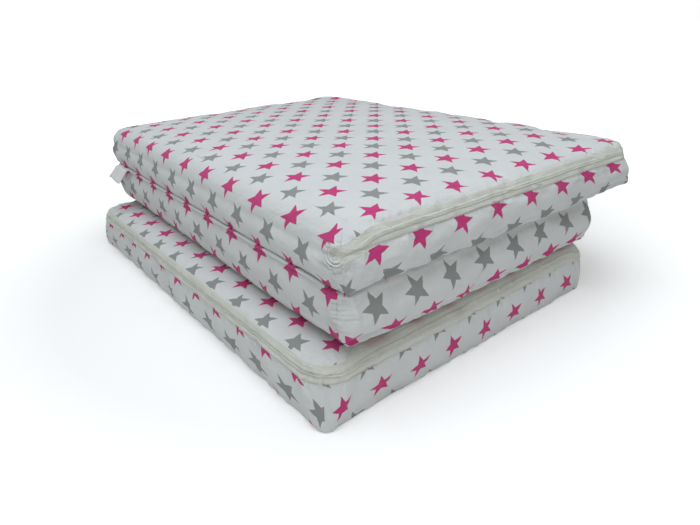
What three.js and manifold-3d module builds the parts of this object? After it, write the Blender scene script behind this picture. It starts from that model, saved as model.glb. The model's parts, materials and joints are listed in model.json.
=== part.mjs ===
// A three-fold foam mattress, folded in a Z and lying on its bottom panel.
// Millimetres, +Z up. X runs along the panels' length, Y along the mattress's width.
// The origin is on the floor under the middle of the stack.

import * as THREE from 'three';
import { mergeVertices } from 'three/addons/utils/BufferGeometryUtils.js';
import Module from 'manifold-3d';

const wasm = await Module();
wasm.setup();

// Driving dimensions of the mattress
const panelWidth = 590;
const topLength = 410;
const middleLength = 360;
const bottomLength = 400;
const panelThickness = 60;
const lidCrown = 9;
const layerGap = 0.3;

// Cloth and foam
const clothThickness = 1;
const clothGap = 0.3;
const seamGap = 0.3;

// Rounding and bulge of the panels
const zipRimRadius = 20;
const plainRimRadius = 14;
const footRimRadius = 14;
const freeCornerRadius = 35;
const foldCornerRadius = 22;
const footCornerRadius = 16;
const sideBulge = 6;
const barrelBulge = 8;
const foldBulge = 4;
const pinchShare = 0.4;
const lidRingShares = [0.45, 0.8];
const wallStepShares = [1 / 3, 2 / 3, 1];

// Cloth across a fold, in the notch between two panels' rounded edges
const foldClothWidthShare = 0.36;
const foldClothDepthShare = 0.62;
const foldClothGap = 0.4;
const foldClothEndInset = 25;

// Zip
const zipTilt = THREE.MathUtils.degToRad(28);
const upperSeamTilt = THREE.MathUtils.degToRad(63);
const lowerSeamDrop = 3;
const tapeFlatWidth = 6.5;
const tapeThickness = 0.8;
const coilWidth = 2.4;
const coilThickness = 2;
const coilProud = 0.4;
const coilTapeGap = 0.3;
const chainPartingWidth = 1.4;
const sliderRoom = 3.4;

// Zip slider
const sliderLength = 13;
const sliderMouthWidth = 10.4;
const sliderTailWidth = 9.2;
const sliderPlateThickness = 1.2;
const sliderPlateGap = 0.4;
const sliderFlangeThickness = 0.7;
const sliderFlangeDrop = 0.5;
const sliderCornerRadius = 1.6;
const wedgeLength = 4;
const wedgeWidth = 0.8;
const wedgeInset = 0.8;
const bridgeLength = 10;
const bridgeWidth = 2.2;
const bridgeThickness = 1;
const bridgeClearance = 2.6;
const sliderEndClearance = 22;

// Zip pull
const pullThickness = 1.2;
const pullBarWidth = 1.4;
const pullEyeLength = 8;
const pullEyeWidth = 4.4;
const pullRootWidth = 7.6;
const pullTipWidth = 6;
const pullLength = 30;
const pullSlotLength = 9;
const pullSlotWidth = 2.6;

// Label
const labelWidth = 50;
const labelDrop = 27;
const labelThickness = 0.8;
const labelGap = 0.3;
const labelEndInset = 24;

// One overrun for every cut and every join
const overrun = 0.5;

const quarterTurn = Math.PI / 2;
const eighthTurn = Math.PI / 4;
const halfTurn = Math.PI;

const materials = {
  cloth: new THREE.MeshStandardMaterial({ color: 0xd8dde2, roughness: 0.9, metalness: 0 }),
  foam: new THREE.MeshStandardMaterial({ color: 0xeee6c8, roughness: 0.95, metalness: 0 }),
  tape: new THREE.MeshStandardMaterial({ color: 0xdcdccb, roughness: 0.85, metalness: 0 }),
  coil: new THREE.MeshStandardMaterial({ color: 0xe4e2d2, roughness: 0.5, metalness: 0 }),
  slider: new THREE.MeshStandardMaterial({ color: 0xe2dfcf, roughness: 0.35, metalness: 0.2 }),
  label: new THREE.MeshStandardMaterial({ color: 0xf2f2f0, roughness: 0.8, metalness: 0 }),
};

const mattress = new THREE.Group();

function addPart(parent, name, geometry, material) {
  const mesh = new THREE.Mesh(geometry, material.clone());
  mesh.name = name;
  parent.add(mesh);
  return mesh;
}

// The panels' cloth as a grid of stations and columns

// A station is one line round the panel. inset and height place it on the side's profile, and
// tilt is the angle of the cloth's normal above the horizontal.
function station(band, inset, height, tilt, more = {}) {
  return { band, inset, height, tilt, share: 1, bulge: 0, cornerShare: 0, relief: 0, ...more };
}

function faceStations(band, inset, height, tilt, shares) {
  const face = (share) => station(band, inset, height, tilt, { share, crowned: tilt > 0 });
  return shares.map(face);
}

// A point on a rounded edge, moved along the profile by shift: up on a rim, down on a foot
function edgeStation(band, radius, centreHeight, tilt, shift = 0, more = {}) {
  const inset = radius - radius * Math.cos(tilt) + shift * Math.sin(tilt);
  const height = centreHeight + radius * Math.sin(tilt) + shift * Math.cos(tilt);
  return station(band, inset, height, tilt, more);
}

// The side wall between two heights, bulged like half a barrel
function wallStations(upperHeight, lowerHeight) {
  const drop = upperHeight - lowerHeight;
  return wallStepShares.map((wallShare) =>
    station('wall', 0, upperHeight - drop * wallShare, 0, {
      bulge: Math.sin(halfTurn * wallShare),
      slope: -Math.cos(halfTurn * wallShare) * (halfTurn / drop),
      cornerShare: wallShare,
    }),
  );
}

function footStations() {
  const sharp = { cornerShare: 1 };
  const seamHalf = seamGap / 2;
  const edge = (band, tilt, shift) =>
    edgeStation(band, footRimRadius, footRimRadius, tilt, shift, sharp);
  return [
    edge('footSeam', -eighthTurn, seamHalf),
    edge('floor', -eighthTurn, -seamHalf),
    edge('floor', -quarterTurn, 0),
    station('end', footRimRadius, 0, -quarterTurn, { share: 0, cornerShare: 1 }),
  ];
}

// An end panel's stations: lid, zip on the rounded rim, wall, foot and floor face
function zippedStations(crown) {
  const rimHeight = panelThickness - crown;
  const centreHeight = rimHeight - zipRimRadius;
  const seamHalf = seamGap / 2;
  const coilInner = chainPartingWidth / 2;
  const coilOuter = coilInner + coilWidth;
  const tapeInner = coilOuter + coilTapeGap;
  const rim = (band, tilt, shift) => edgeStation(band, zipRimRadius, centreHeight, tilt, shift);
  const zip = (band, up) =>
    edgeStation(band, zipRimRadius, centreHeight, zipTilt, up, { relief: sliderRoom });
  const lowerSeam = centreHeight - lowerSeamDrop;
  return [
    ...faceStations('lid', zipRimRadius, rimHeight, quarterTurn, [0, ...lidRingShares, 1]),
    rim('upperSeam', upperSeamTilt, seamHalf),
    rim('upperTape', upperSeamTilt, -seamHalf),
    zip('upperTape', tapeFlatWidth),
    zip('upperTapeGap', tapeInner),
    zip('upperCoil', coilOuter),
    zip('parting', coilInner),
    zip('lowerCoil', -coilInner),
    zip('lowerTapeGap', -coilOuter),
    zip('lowerTape', -tapeInner),
    zip('lowerTape', -tapeFlatWidth),
    station('lowerSeam', 0, lowerSeam + seamHalf, 0),
    station('wall', 0, lowerSeam - seamHalf, 0),
    ...wallStations(lowerSeam - seamHalf, footRimRadius),
    ...footStations(),
  ];
}

// The middle panel's stations: both faces are flat under their neighbours
function plainStations() {
  const centreHeight = panelThickness - plainRimRadius;
  const seamHalf = seamGap / 2;
  const rim = (band, tilt, shift) => edgeStation(band, plainRimRadius, centreHeight, tilt, shift);
  return [
    ...faceStations('lid', plainRimRadius, panelThickness, quarterTurn, [0, 1]),
    rim('upperSeam', eighthTurn, seamHalf),
    rim('wall', eighthTurn, -seamHalf),
    rim('wall', 0, 0),
    ...wallStations(centreHeight, footRimRadius),
    ...footStations(),
  ];
}

// A corner's columns. The seam is its diagonal, as wide as the seam gap.
function cornerColumns(corner, bandBefore, seam, bandAfter) {
  const start = corner.turn * quarterTurn;
  const at = (share, band, shift = 0) => ({
    corner,
    angle: start + share * quarterTurn,
    band,
    shift,
    full: Math.abs(2 * share - 1),
  });
  const steps = corner.steps;
  const before = Array.from({ length: steps }, (_, i) => at(i / (2 * steps), bandBefore));
  const after = Array.from({ length: steps }, (_, i) => at((i + 1 + steps) / (2 * steps), bandAfter));
  const seamHalf = seamGap / 2;
  return [...before, at(1 / 2, seam, -seamHalf), at(1 / 2, bandAfter, seamHalf), ...after];
}

// The columns of one straight side, without its ends, which the corners hold
function straightColumns(from, to, band, steps) {
  return Array.from({ length: steps - 1 }, (_, i) => ({ from, to, share: (i + 1) / steps, band }));
}

// The columns in order, seen from above against the clock, from the front corner at -X
function panelColumns(foldBothEnds, straightSteps) {
  const foldCorner = { steps: 1, radius: foldCornerRadius };
  const endCorner = foldBothEnds ? foldCorner : { steps: 2, radius: freeCornerRadius };
  const frontFold = { x: -1, y: -1, turn: 2, ...foldCorner };
  const frontEnd = { x: 1, y: -1, turn: 3, ...endCorner };
  const backEnd = { x: 1, y: 1, turn: 0, ...endCorner };
  const backFold = { x: -1, y: 1, turn: 1, ...foldCorner };
  return [
    ...cornerColumns(frontFold, 'fold', 'frontFoldSeam', 'front'),
    ...straightColumns(frontFold, frontEnd, 'front', straightSteps),
    ...cornerColumns(frontEnd, 'front', 'frontEndSeam', 'end'),
    ...straightColumns(frontEnd, backEnd, 'end', straightSteps),
    ...cornerColumns(backEnd, 'end', 'backEndSeam', 'back'),
    ...straightColumns(backEnd, backFold, 'back', straightSteps),
    ...cornerColumns(backFold, 'back', 'backFoldSeam', 'fold'),
    ...straightColumns(backFold, frontFold, 'fold', straightSteps),
  ];
}

function cornerPlace(panel, corner, row) {
  const nominal = THREE.MathUtils.lerp(corner.radius, footCornerRadius, row.cornerShare);
  return {
    radius: nominal - row.inset,
    x: corner.x * (panel.length / 2 - nominal),
    y: corner.y * (panel.width / 2 - nominal),
  };
}

// Where a column crosses a station, in plan, with the outward direction there
function planPoint(panel, row, column) {
  if (column.corner) {
    const { radius, x, y } = cornerPlace(panel, column.corner, row);
    const outX = Math.cos(column.angle);
    const outY = Math.sin(column.angle);
    return {
      x: x + radius * outX - column.shift * outY,
      y: y + radius * outY + column.shift * outX,
      outX,
      outY,
      full: column.full,
    };
  }
  const start = cornerPlace(panel, column.from, row);
  const end = cornerPlace(panel, column.to, row);
  const outAngle = column.to.turn * quarterTurn;
  const outX = Math.round(Math.cos(outAngle));
  const outY = Math.round(Math.sin(outAngle));
  const radius = THREE.MathUtils.lerp(start.radius, end.radius, column.share);
  return {
    x: THREE.MathUtils.lerp(start.x, end.x, column.share) + radius * outX,
    y: THREE.MathUtils.lerp(start.y, end.y, column.share) + radius * outY,
    outX,
    outY,
    full: 1,
  };
}

function bulgeAt(panel, row, place) {
  const towardFold = place.outX < 0 || panel.foldBothEnds;
  const foldWeight = towardFold ? place.outX ** 2 : 0;
  const reach = THREE.MathUtils.lerp(panel.bulge, foldBulge, foldWeight);
  return row.bulge * reach * THREE.MathUtils.lerp(pinchShare, 1, place.full);
}

function crownAt(panel, row, x, y) {
  if (!row.crowned) {
    return 0;
  }
  const across = 1 - Math.abs(x / (panel.length / 2 - row.inset)) ** 4;
  const along = 1 - Math.abs(y / (panel.width / 2 - row.inset)) ** 4;
  return panel.crown * across * along;
}

// A point of the cloth, offset outward along its normal
function clothPoint(panel, row, column, offset) {
  const place = planPoint(panel, row, column);
  const bulge = bulgeAt(panel, row, place);
  const tilt = row.tilt + (row.slope ? Math.atan(-row.slope * panel.bulge) : 0);
  const out = bulge + offset * Math.cos(tilt);
  const x = place.x * row.share + place.outX * out;
  const y = place.y * row.share + place.outY * out;
  const crown = crownAt(panel, row, place.x * row.share, place.y * row.share);
  return new THREE.Vector3(x, y, row.height + crown + offset * Math.sin(tilt));
}

// A closed body over the grid cells that wanted picks: a cloth of the given thickness, or with
// thickness null all that lies inside the grid
function gridBody(panel, stations, wanted, offsetOf, thickness) {
  const columns = panel.columns;
  const positions = [];
  const indices = [];
  const known = new Map();
  const vertex = (row, col, layer) => {
    const pole = stations[row].share === 0;
    const key = `${row}:${pole ? 0 : col}:${layer}`;
    if (!known.has(key)) {
      const offset = offsetOf(stations[row], columns[col]) - layer * (thickness ?? 0);
      known.set(key, positions.length / 3);
      positions.push(...clothPoint(panel, stations[row], columns[col], offset).toArray());
    }
    return known.get(key);
  };
  const quad = (a, b, c, d) => {
    const triangles = [[a, b, c], [a, c, d]];
    triangles.filter(([p, q, r]) => p !== q && q !== r && r !== p).forEach((t) => indices.push(...t));
  };
  const has = (row, col) =>
    row >= 0 &&
    row < stations.length - 1 &&
    wanted(stations[row].band, columns[(col + columns.length) % columns.length].band);
  for (let row = 0; row < stations.length - 1; row += 1) {
    for (let col = 0; col < columns.length; col += 1) {
      if (!has(row, col)) {
        continue;
      }
      const next = (col + 1) % columns.length;
      const corners = [[row, col], [row + 1, col], [row + 1, next], [row, next]];
      const outer = corners.map(([r, c]) => vertex(r, c, 0));
      quad(...outer);
      if (thickness === null) {
        continue;
      }
      const inner = corners.map(([r, c]) => vertex(r, c, 1));
      quad(inner[0], inner[3], inner[2], inner[1]);
      const wall = (i, j) => quad(outer[i], inner[i], inner[j], outer[j]);
      if (!has(row, col - 1)) {
        wall(0, 1);
      }
      if (!has(row + 1, col) && stations[row + 1].share !== 0) {
        wall(1, 2);
      }
      if (!has(row, col + 1)) {
        wall(2, 3);
      }
      if (!has(row - 1, col) && stations[row].share !== 0) {
        wall(3, 0);
      }
    }
  }
  const geometry = new THREE.BufferGeometry();
  geometry.setAttribute('position', new THREE.Float32BufferAttribute(positions, 3));
  geometry.setIndex(indices);
  geometry.computeVertexNormals();
  return geometry;
}

function clothBody(panel, wanted, thickness = clothThickness, proud = 0) {
  return gridBody(panel, panel.stations, wanted, () => proud, thickness);
}

// The foam follows the cloth from inside, and leaves room for the slider under the zip
function foamBody(panel) {
  const seamBands = ['upperSeam', 'upperTapeGap', 'upperCoil', 'parting', 'lowerCoil'];
  const skipped = new Set([...seamBands, 'lowerTapeGap', 'lowerSeam', 'footSeam']);
  const stations = panel.stations.filter((row) => !skipped.has(row.band));
  const offsetOf = (row, column) => {
    const relief = column.band === 'fold' || panel.foldBothEnds ? 0 : row.relief;
    return -(clothThickness + clothGap + relief);
  };
  return gridBody(panel, stations, () => true, offsetOf, null);
}

const zipBands = new Set(['upperTape', 'upperTapeGap', 'upperCoil', 'parting', 'lowerCoil',
  'lowerTapeGap', 'lowerTape']);
const freeSides = new Set(['front', 'frontEndSeam', 'end', 'backEndSeam', 'back']);

const isLid = (band) => band === 'lid';
const isFloor = (band) => band === 'floor';
const isWall = (band) => band === 'wall';

// The cloth of the fold side hangs on the lid, or on the floor face
function lidWithFoldSide(foldSide) {
  const hung = (band) => band === 'upperSeam' || zipBands.has(band) || band === 'lowerSeam';
  return (band, side) => isLid(band) || (side === foldSide && (hung(band) || isWall(band)));
}

function floorWithFoldSide(foldSide) {
  const hung = (band) => zipBands.has(band) || band === 'lowerSeam' || band === 'footSeam';
  return (band, side) => isFloor(band) || (side === foldSide && (hung(band) || isWall(band)));
}

const onSide = (side) => (band, columnSide) => isWall(band) && columnSide === side;
const onZip = (zipBand) => (band, side) => band === zipBand && freeSides.has(side);

// Zip slider, in its own frame: X along the chain with the mouth at -X, Z out of the cloth

function solidOf(geometry) {
  const bare = geometry.index ? geometry.toNonIndexed() : geometry.clone();
  bare.deleteAttribute('normal');
  bare.deleteAttribute('uv');
  const merged = mergeVertices(bare);
  return new wasm.Manifold(new wasm.Mesh({
    numProp: 3,
    vertProperties: Float32Array.from(merged.attributes.position.array),
    triVerts: Uint32Array.from(merged.index.array),
  }));
}

function geometryOf(solid) {
  const mesh = solid.getMesh();
  const geometry = new THREE.BufferGeometry();
  geometry.setAttribute('position', new THREE.BufferAttribute(mesh.vertProperties, 3));
  geometry.setIndex(new THREE.BufferAttribute(mesh.triVerts, 1));
  geometry.computeVertexNormals();
  return geometry;
}

function block(lowX, highX, lowY, highY, lowZ, highZ) {
  const geometry = new THREE.BoxGeometry(highX - lowX, highY - lowY, highZ - lowZ);
  geometry.translate((lowX + highX) / 2, (lowY + highY) / 2, (lowZ + highZ) / 2);
  return geometry;
}

// A plate with round corners, wider at its mouth than at its tail
function plateOutline(length, mouthWidth, tailWidth, radius) {
  const half = length / 2;
  const mouth = mouthWidth / 2;
  const tail = tailWidth / 2;
  const shape = new THREE.Shape();
  shape.moveTo(-half + radius, -mouth);
  shape.lineTo(half - radius, -tail);
  shape.quadraticCurveTo(half, -tail, half, -tail + radius);
  shape.lineTo(half, tail - radius);
  shape.quadraticCurveTo(half, tail, half - radius, tail);
  shape.lineTo(-half + radius, mouth);
  shape.quadraticCurveTo(-half, mouth, -half, mouth - radius);
  shape.lineTo(-half, -mouth + radius);
  shape.quadraticCurveTo(-half, -mouth, -half + radius, -mouth);
  return shape;
}

function slab(shape, lowZ, highZ) {
  const settings = { depth: highZ - lowZ, bevelEnabled: false, curveSegments: 3 };
  const geometry = new THREE.ExtrudeGeometry(shape, settings);
  geometry.translate(0, 0, lowZ);
  return geometry;
}

// The arch over the top plate that holds the pull, drawn in X and Z and extruded along Y
function bridgeGeometry(seat) {
  const half = bridgeLength / 2;
  const rise = bridgeClearance + bridgeThickness;
  const shape = new THREE.Shape();
  shape.moveTo(-half, -overrun);
  shape.lineTo(-half + bridgeThickness, -overrun);
  shape.lineTo(-half + bridgeThickness, bridgeClearance - bridgeThickness);
  shape.quadraticCurveTo(-half + bridgeThickness, bridgeClearance,
    -half + 2 * bridgeThickness, bridgeClearance);
  shape.lineTo(half - 2 * bridgeThickness, bridgeClearance);
  shape.quadraticCurveTo(half - bridgeThickness, bridgeClearance,
    half - bridgeThickness, bridgeClearance - bridgeThickness);
  shape.lineTo(half - bridgeThickness, -overrun);
  shape.lineTo(half, -overrun);
  shape.lineTo(half, rise - 2 * bridgeThickness);
  shape.quadraticCurveTo(half, rise, half - 2 * bridgeThickness, rise);
  shape.lineTo(-half + 2 * bridgeThickness, rise);
  shape.quadraticCurveTo(-half, rise, -half, rise - 2 * bridgeThickness);
  const settings = { depth: bridgeWidth, bevelEnabled: false, curveSegments: 3 };
  const geometry = new THREE.ExtrudeGeometry(shape, settings);
  geometry.rotateX(quarterTurn);
  geometry.translate(0, bridgeWidth / 2, seat);
  return geometry;
}

// Heights of the slider's plates over the tape's outer face
const topPlateLow = coilProud + sliderPlateGap;
const topPlateHigh = topPlateLow + sliderPlateThickness;
const underPlateHigh = coilProud - coilThickness - sliderPlateGap;
const underPlateLow = underPlateHigh - sliderPlateThickness;
const pullPivotHeight = topPlateHigh + bridgeClearance / 2;

function sliderGeometry() {
  const outline = plateOutline(sliderLength, sliderMouthWidth, sliderTailWidth, sliderCornerRadius);
  const half = sliderLength / 2;
  const wedgeLow = -half + wedgeInset;
  const wedge = block(wedgeLow, wedgeLow + wedgeLength, -wedgeWidth / 2, wedgeWidth / 2,
    underPlateHigh - overrun, topPlateLow + overrun);
  const flangeOut = sliderTailWidth / 2;
  const flangeIn = flangeOut - sliderFlangeThickness;
  const flangeEnd = half - sliderCornerRadius;
  let slider = solidOf(slab(outline, topPlateLow, topPlateHigh))
    .add(solidOf(slab(outline, underPlateLow, underPlateHigh)))
    .add(solidOf(wedge))
    .add(solidOf(bridgeGeometry(topPlateHigh)));
  for (const [low, high] of [[-flangeOut, -flangeIn], [flangeIn, flangeOut]]) {
    const upper = block(0, flangeEnd, low, high, topPlateLow - sliderFlangeDrop, topPlateLow + overrun);
    const under = block(0, flangeEnd, low, high, underPlateHigh - overrun,
      underPlateHigh + sliderFlangeDrop);
    slider = slider.add(solidOf(upper)).add(solidOf(under));
  }
  return geometryOf(slider);
}

function roundedHole(lowX, highX, width, radius) {
  const half = width / 2;
  const hole = new THREE.Path();
  hole.moveTo(lowX + radius, -half);
  hole.lineTo(highX - radius, -half);
  hole.absarc(highX - radius, -half + radius, radius, -quarterTurn, 0, false);
  hole.absarc(highX - radius, half - radius, radius, 0, quarterTurn, false);
  hole.absarc(lowX + radius, half - radius, radius, quarterTurn, halfTurn, false);
  hole.absarc(lowX + radius, -half + radius, radius, halfTurn, halfTurn + quarterTurn, false);
  return hole;
}

// The pull: a bar under the bridge, an eye round it and a tab with a slot
function pullGeometry() {
  const barHalf = pullBarWidth / 2;
  const root = pullRootWidth / 2;
  const tip = pullTipWidth / 2;
  const shape = new THREE.Shape();
  shape.moveTo(-barHalf, -root + barHalf);
  shape.quadraticCurveTo(-barHalf, -root, barHalf, -root);
  shape.lineTo(barHalf + pullEyeLength, -root);
  shape.lineTo(pullLength - tip, -tip);
  shape.absarc(pullLength - tip, 0, tip, -quarterTurn, quarterTurn, false);
  shape.lineTo(barHalf + pullEyeLength, root);
  shape.lineTo(barHalf, root);
  shape.quadraticCurveTo(-barHalf, root, -barHalf, root - barHalf);
  const slotEnd = pullLength - tip;
  shape.holes.push(roundedHole(barHalf, barHalf + pullEyeLength, pullEyeWidth, barHalf));
  shape.holes.push(roundedHole(slotEnd - pullSlotLength, slotEnd, pullSlotWidth, pullSlotWidth / 2));
  return slab(shape, -pullThickness / 2, pullThickness / 2);
}

const sliderShape = sliderGeometry();
const pullShape = pullGeometry();

// The slider and its pull on the zip line of one long side, near the fold
function addSlider(parent, panel, name, side) {
  const rimHeight = panelThickness - panel.crown;
  const centreHeight = rimHeight - zipRimRadius;
  const carrier = new THREE.Group();
  const out = panelWidth / 2 - zipRimRadius + zipRimRadius * Math.cos(zipTilt);
  const closedX = -panel.length / 2 + foldCornerRadius + sliderEndClearance;
  carrier.position.set(closedX, side * out, centreHeight + zipRimRadius * Math.sin(zipTilt));
  carrier.rotation.x = -side * (quarterTurn - zipTilt);
  parent.add(carrier);
  addPart(carrier, `${name}_zip_slider`, sliderShape, materials.slider);
  const pull = addPart(carrier, `${name}_zip_pull`, pullShape, materials.slider);
  pull.position.z = pullPivotHeight;
}

function addZip(parent, panel, name, side) {
  const tape = (band) => clothBody(panel, onZip(band), tapeThickness);
  const coil = (band) => clothBody(panel, onZip(band), coilThickness, coilProud);
  addPart(parent, `${name}_zip_upper_tape`, tape('upperTape'), materials.tape);
  addPart(parent, `${name}_zip_lower_tape`, tape('lowerTape'), materials.tape);
  addPart(parent, `${name}_zip_upper_coil`, coil('upperCoil'), materials.coil);
  addPart(parent, `${name}_zip_lower_coil`, coil('lowerCoil'), materials.coil);
  addSlider(parent, panel, name, side);
}

// An end panel in its own frame: the fold is at -X and the free end at +X
function endPanel(length, crown, straightSteps) {
  return {
    length,
    width: panelWidth,
    crown,
    bulge: sideBulge,
    stations: zippedStations(crown),
    columns: panelColumns(false, straightSteps),
  };
}

function addEndPanel(name, panel, sheets, sides, sliderSide) {
  const group = new THREE.Group();
  mattress.add(group);
  addPart(group, `${name}_foam`, foamBody(panel), materials.foam);
  for (const [sheet, wanted] of Object.entries(sheets)) {
    addPart(group, `${name}_${sheet}_sheet`, clothBody(panel, wanted), materials.cloth);
  }
  for (const [band, side] of Object.entries(sides)) {
    addPart(group, `${name}_${band}_band`, clothBody(panel, onSide(side)), materials.cloth);
  }
  addZip(group, panel, name, sliderSide);
  return group;
}

// Where the stack's fold sides stand, so that the stack is centred on the origin
const stackLength = topLength + bottomLength - middleLength;
const leftWallX = bottomLength - middleLength - stackLength / 2;
const rightWallX = leftWallX + middleLength;
const middleHeight = panelThickness + layerGap;
const topHeight = 2 * middleHeight;

const bottomPanel = endPanel(bottomLength, 0, 2);
const bottomGroup = addEndPanel(
  'bottom',
  bottomPanel,
  { inner: isLid, outer: floorWithFoldSide('fold') },
  { front: 'back', end: 'end', back: 'front' },
  -1,
);
bottomGroup.position.x = rightWallX - bottomLength / 2;
bottomGroup.rotation.z = halfTurn;

const topPanel = endPanel(topLength, lidCrown, 4);
const topGroup = addEndPanel(
  'top',
  topPanel,
  { outer: lidWithFoldSide('fold'), inner: isFloor },
  { front: 'front', end: 'end', back: 'back' },
  1,
);
topGroup.position.set(leftWallX + topLength / 2, 0, topHeight);

// Middle panel: its -X side folds to the top panel and its +X side to the bottom one
const middlePanel = {
  length: middleLength,
  width: panelWidth,
  crown: 0,
  bulge: barrelBulge,
  foldBothEnds: true,
  stations: plainStations(),
  columns: panelColumns(true, 2),
};
const middleGroup = new THREE.Group();
middleGroup.position.set(leftWallX + middleLength / 2, 0, middleHeight);
mattress.add(middleGroup);
addPart(middleGroup, 'middle_foam', foamBody(middlePanel), materials.foam);
const middleCloths = {
  middle_upper_sheet: lidWithFoldSide('end'),
  middle_lower_sheet: floorWithFoldSide('fold'),
  middle_front_band: onSide('front'),
  middle_back_band: onSide('back'),
};
for (const [name, wanted] of Object.entries(middleCloths)) {
  addPart(middleGroup, name, clothBody(middlePanel, wanted), materials.cloth);
}

// Cloth across a fold: an oval roll of both sheets' turnings that fills the notch, whose sides
// slope as the chord of the last eighth of a turn does
const notchRadius = Math.min(plainRimRadius, footRimRadius);
const foldClothDepth = notchRadius * foldClothDepthShare;

function foldClothGeometry() {
  const slope = Math.tan(eighthTurn / 2);
  const halfWidth = (notchRadius * foldClothWidthShare) / 2;
  const opening = (notchRadius - foldClothDepth) * slope + layerGap / 2;
  const reach = opening - foldClothGap * Math.hypot(1, slope);
  const halfThickness = Math.sqrt(reach ** 2 - (halfWidth * slope) ** 2);
  const section = new THREE.Shape();
  section.absellipse(0, 0, halfWidth, halfThickness, 0, 2 * halfTurn, false, 0);
  const depth = panelWidth - 2 * foldClothEndInset;
  const settings = { depth, bevelEnabled: false, curveSegments: 5, steps: 1 };
  const geometry = new THREE.ExtrudeGeometry(section, settings);
  geometry.rotateX(quarterTurn);
  geometry.translate(0, depth / 2, 0);
  return geometry;
}

const foldClothShape = foldClothGeometry();
const foldLines = {
  upper_fold_cloth: [leftWallX + foldClothDepth, topHeight - layerGap / 2],
  lower_fold_cloth: [rightWallX - foldClothDepth, middleHeight - layerGap / 2],
};
for (const [name, [x, z]] of Object.entries(foldLines)) {
  addPart(mattress, name, foldClothShape, materials.cloth).position.set(x, 0, z);
}

// Label: it comes out of the upper fold and lies over the middle panel's wall
function labelGeometry() {
  const column = middlePanel.columns.find((c) => !c.corner && c.band === 'fold');
  const rows = middlePanel.stations.filter((row) => row.band === 'wall');
  const atOffset = (offset) => rows.map((row) => clothPoint(middlePanel, row, column, offset));
  const inner = atOffset(labelGap);
  const outer = atOffset(labelGap + labelThickness);
  const lowest = inner[0].z - labelDrop;
  const cutAt = (points) => {
    const kept = points.filter((p) => p.z > lowest);
    const [last, next] = [points[kept.length - 1], points[kept.length]];
    return [...kept, last.clone().lerp(next, (last.z - lowest) / (last.z - next.z))];
  };
  const ring = [...cutAt(outer), ...cutAt(inner).toReversed()];
  const shape = new THREE.Shape(ring.map((p) => new THREE.Vector2(p.x, p.z)));
  const geometry = new THREE.ExtrudeGeometry(shape, { depth: labelWidth, bevelEnabled: false });
  geometry.rotateX(quarterTurn);
  geometry.translate(0, panelWidth / 2 - labelEndInset, 0);
  return geometry;
}

addPart(middleGroup, 'label', labelGeometry(), materials.label);

export default mattress;
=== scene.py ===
"""Looks of a foam mattress folded in three, in a star-print cotton cover with two zips."""

import json
import logging
import math
from dataclasses import dataclass, field
from enum import Enum

import bpy
import numpy as np
from mathutils import Matrix, Vector
from mathutils.kdtree import KDTree

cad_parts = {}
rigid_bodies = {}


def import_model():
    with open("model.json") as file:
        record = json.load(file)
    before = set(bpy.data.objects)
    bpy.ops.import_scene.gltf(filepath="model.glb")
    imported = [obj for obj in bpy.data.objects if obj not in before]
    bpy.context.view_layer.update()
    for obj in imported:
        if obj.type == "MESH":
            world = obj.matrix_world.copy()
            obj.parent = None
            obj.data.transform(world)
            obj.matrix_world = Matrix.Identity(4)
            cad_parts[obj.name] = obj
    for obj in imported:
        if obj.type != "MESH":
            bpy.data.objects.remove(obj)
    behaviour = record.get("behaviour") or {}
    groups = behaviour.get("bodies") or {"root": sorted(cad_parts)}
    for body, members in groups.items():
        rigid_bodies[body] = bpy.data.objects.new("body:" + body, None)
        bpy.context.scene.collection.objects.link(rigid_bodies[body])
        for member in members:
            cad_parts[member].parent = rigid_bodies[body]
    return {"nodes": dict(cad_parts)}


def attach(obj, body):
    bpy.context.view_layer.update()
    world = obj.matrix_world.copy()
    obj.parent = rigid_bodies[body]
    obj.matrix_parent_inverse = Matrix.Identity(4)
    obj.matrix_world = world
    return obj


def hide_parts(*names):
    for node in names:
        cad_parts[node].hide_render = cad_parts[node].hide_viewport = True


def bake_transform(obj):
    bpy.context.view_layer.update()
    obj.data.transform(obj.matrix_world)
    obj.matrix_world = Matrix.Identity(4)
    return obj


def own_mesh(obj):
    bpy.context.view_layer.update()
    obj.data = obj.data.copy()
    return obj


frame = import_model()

LOG = logging.getLogger("mattress")
MM = 0.001

Socket = bpy.types.NodeSocket
Row = tuple[float, float]
Triple = tuple[float, float, float]
Colour = Triple
Corners = tuple[float, float, float, float]

NO_SEAM = 60.0  # this far away, in millimetres, a seam no longer draws the cloth in
NO_STARS = 20.0  # a star that is smaller by this radius, in millimetres, isn't there


class Side(Enum):
    """The four sides of a panel in its own frame, whose fold is at -X, in column order."""

    FRONT = 0
    END = 1
    BACK = 2
    FOLD = 3


class Band(Enum):
    """The bands of a panel's skin from its upper face down to its lower one."""

    UPPER_FACE = "upper face"
    UPPER_EDGE = "upper edge"
    UPPER_TAPE = "upper tape"
    UPPER_COIL = "upper coil"
    PARTING = "parting"
    LOWER_COIL = "lower coil"
    LOWER_TAPE = "lower tape"
    WALL = "wall"
    LOWER_EDGE = "lower edge"
    LOWER_FACE = "lower face"


ZIP_BANDS = (Band.UPPER_TAPE, Band.UPPER_COIL, Band.PARTING, Band.LOWER_COIL, Band.LOWER_TAPE)


# Materials


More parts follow.
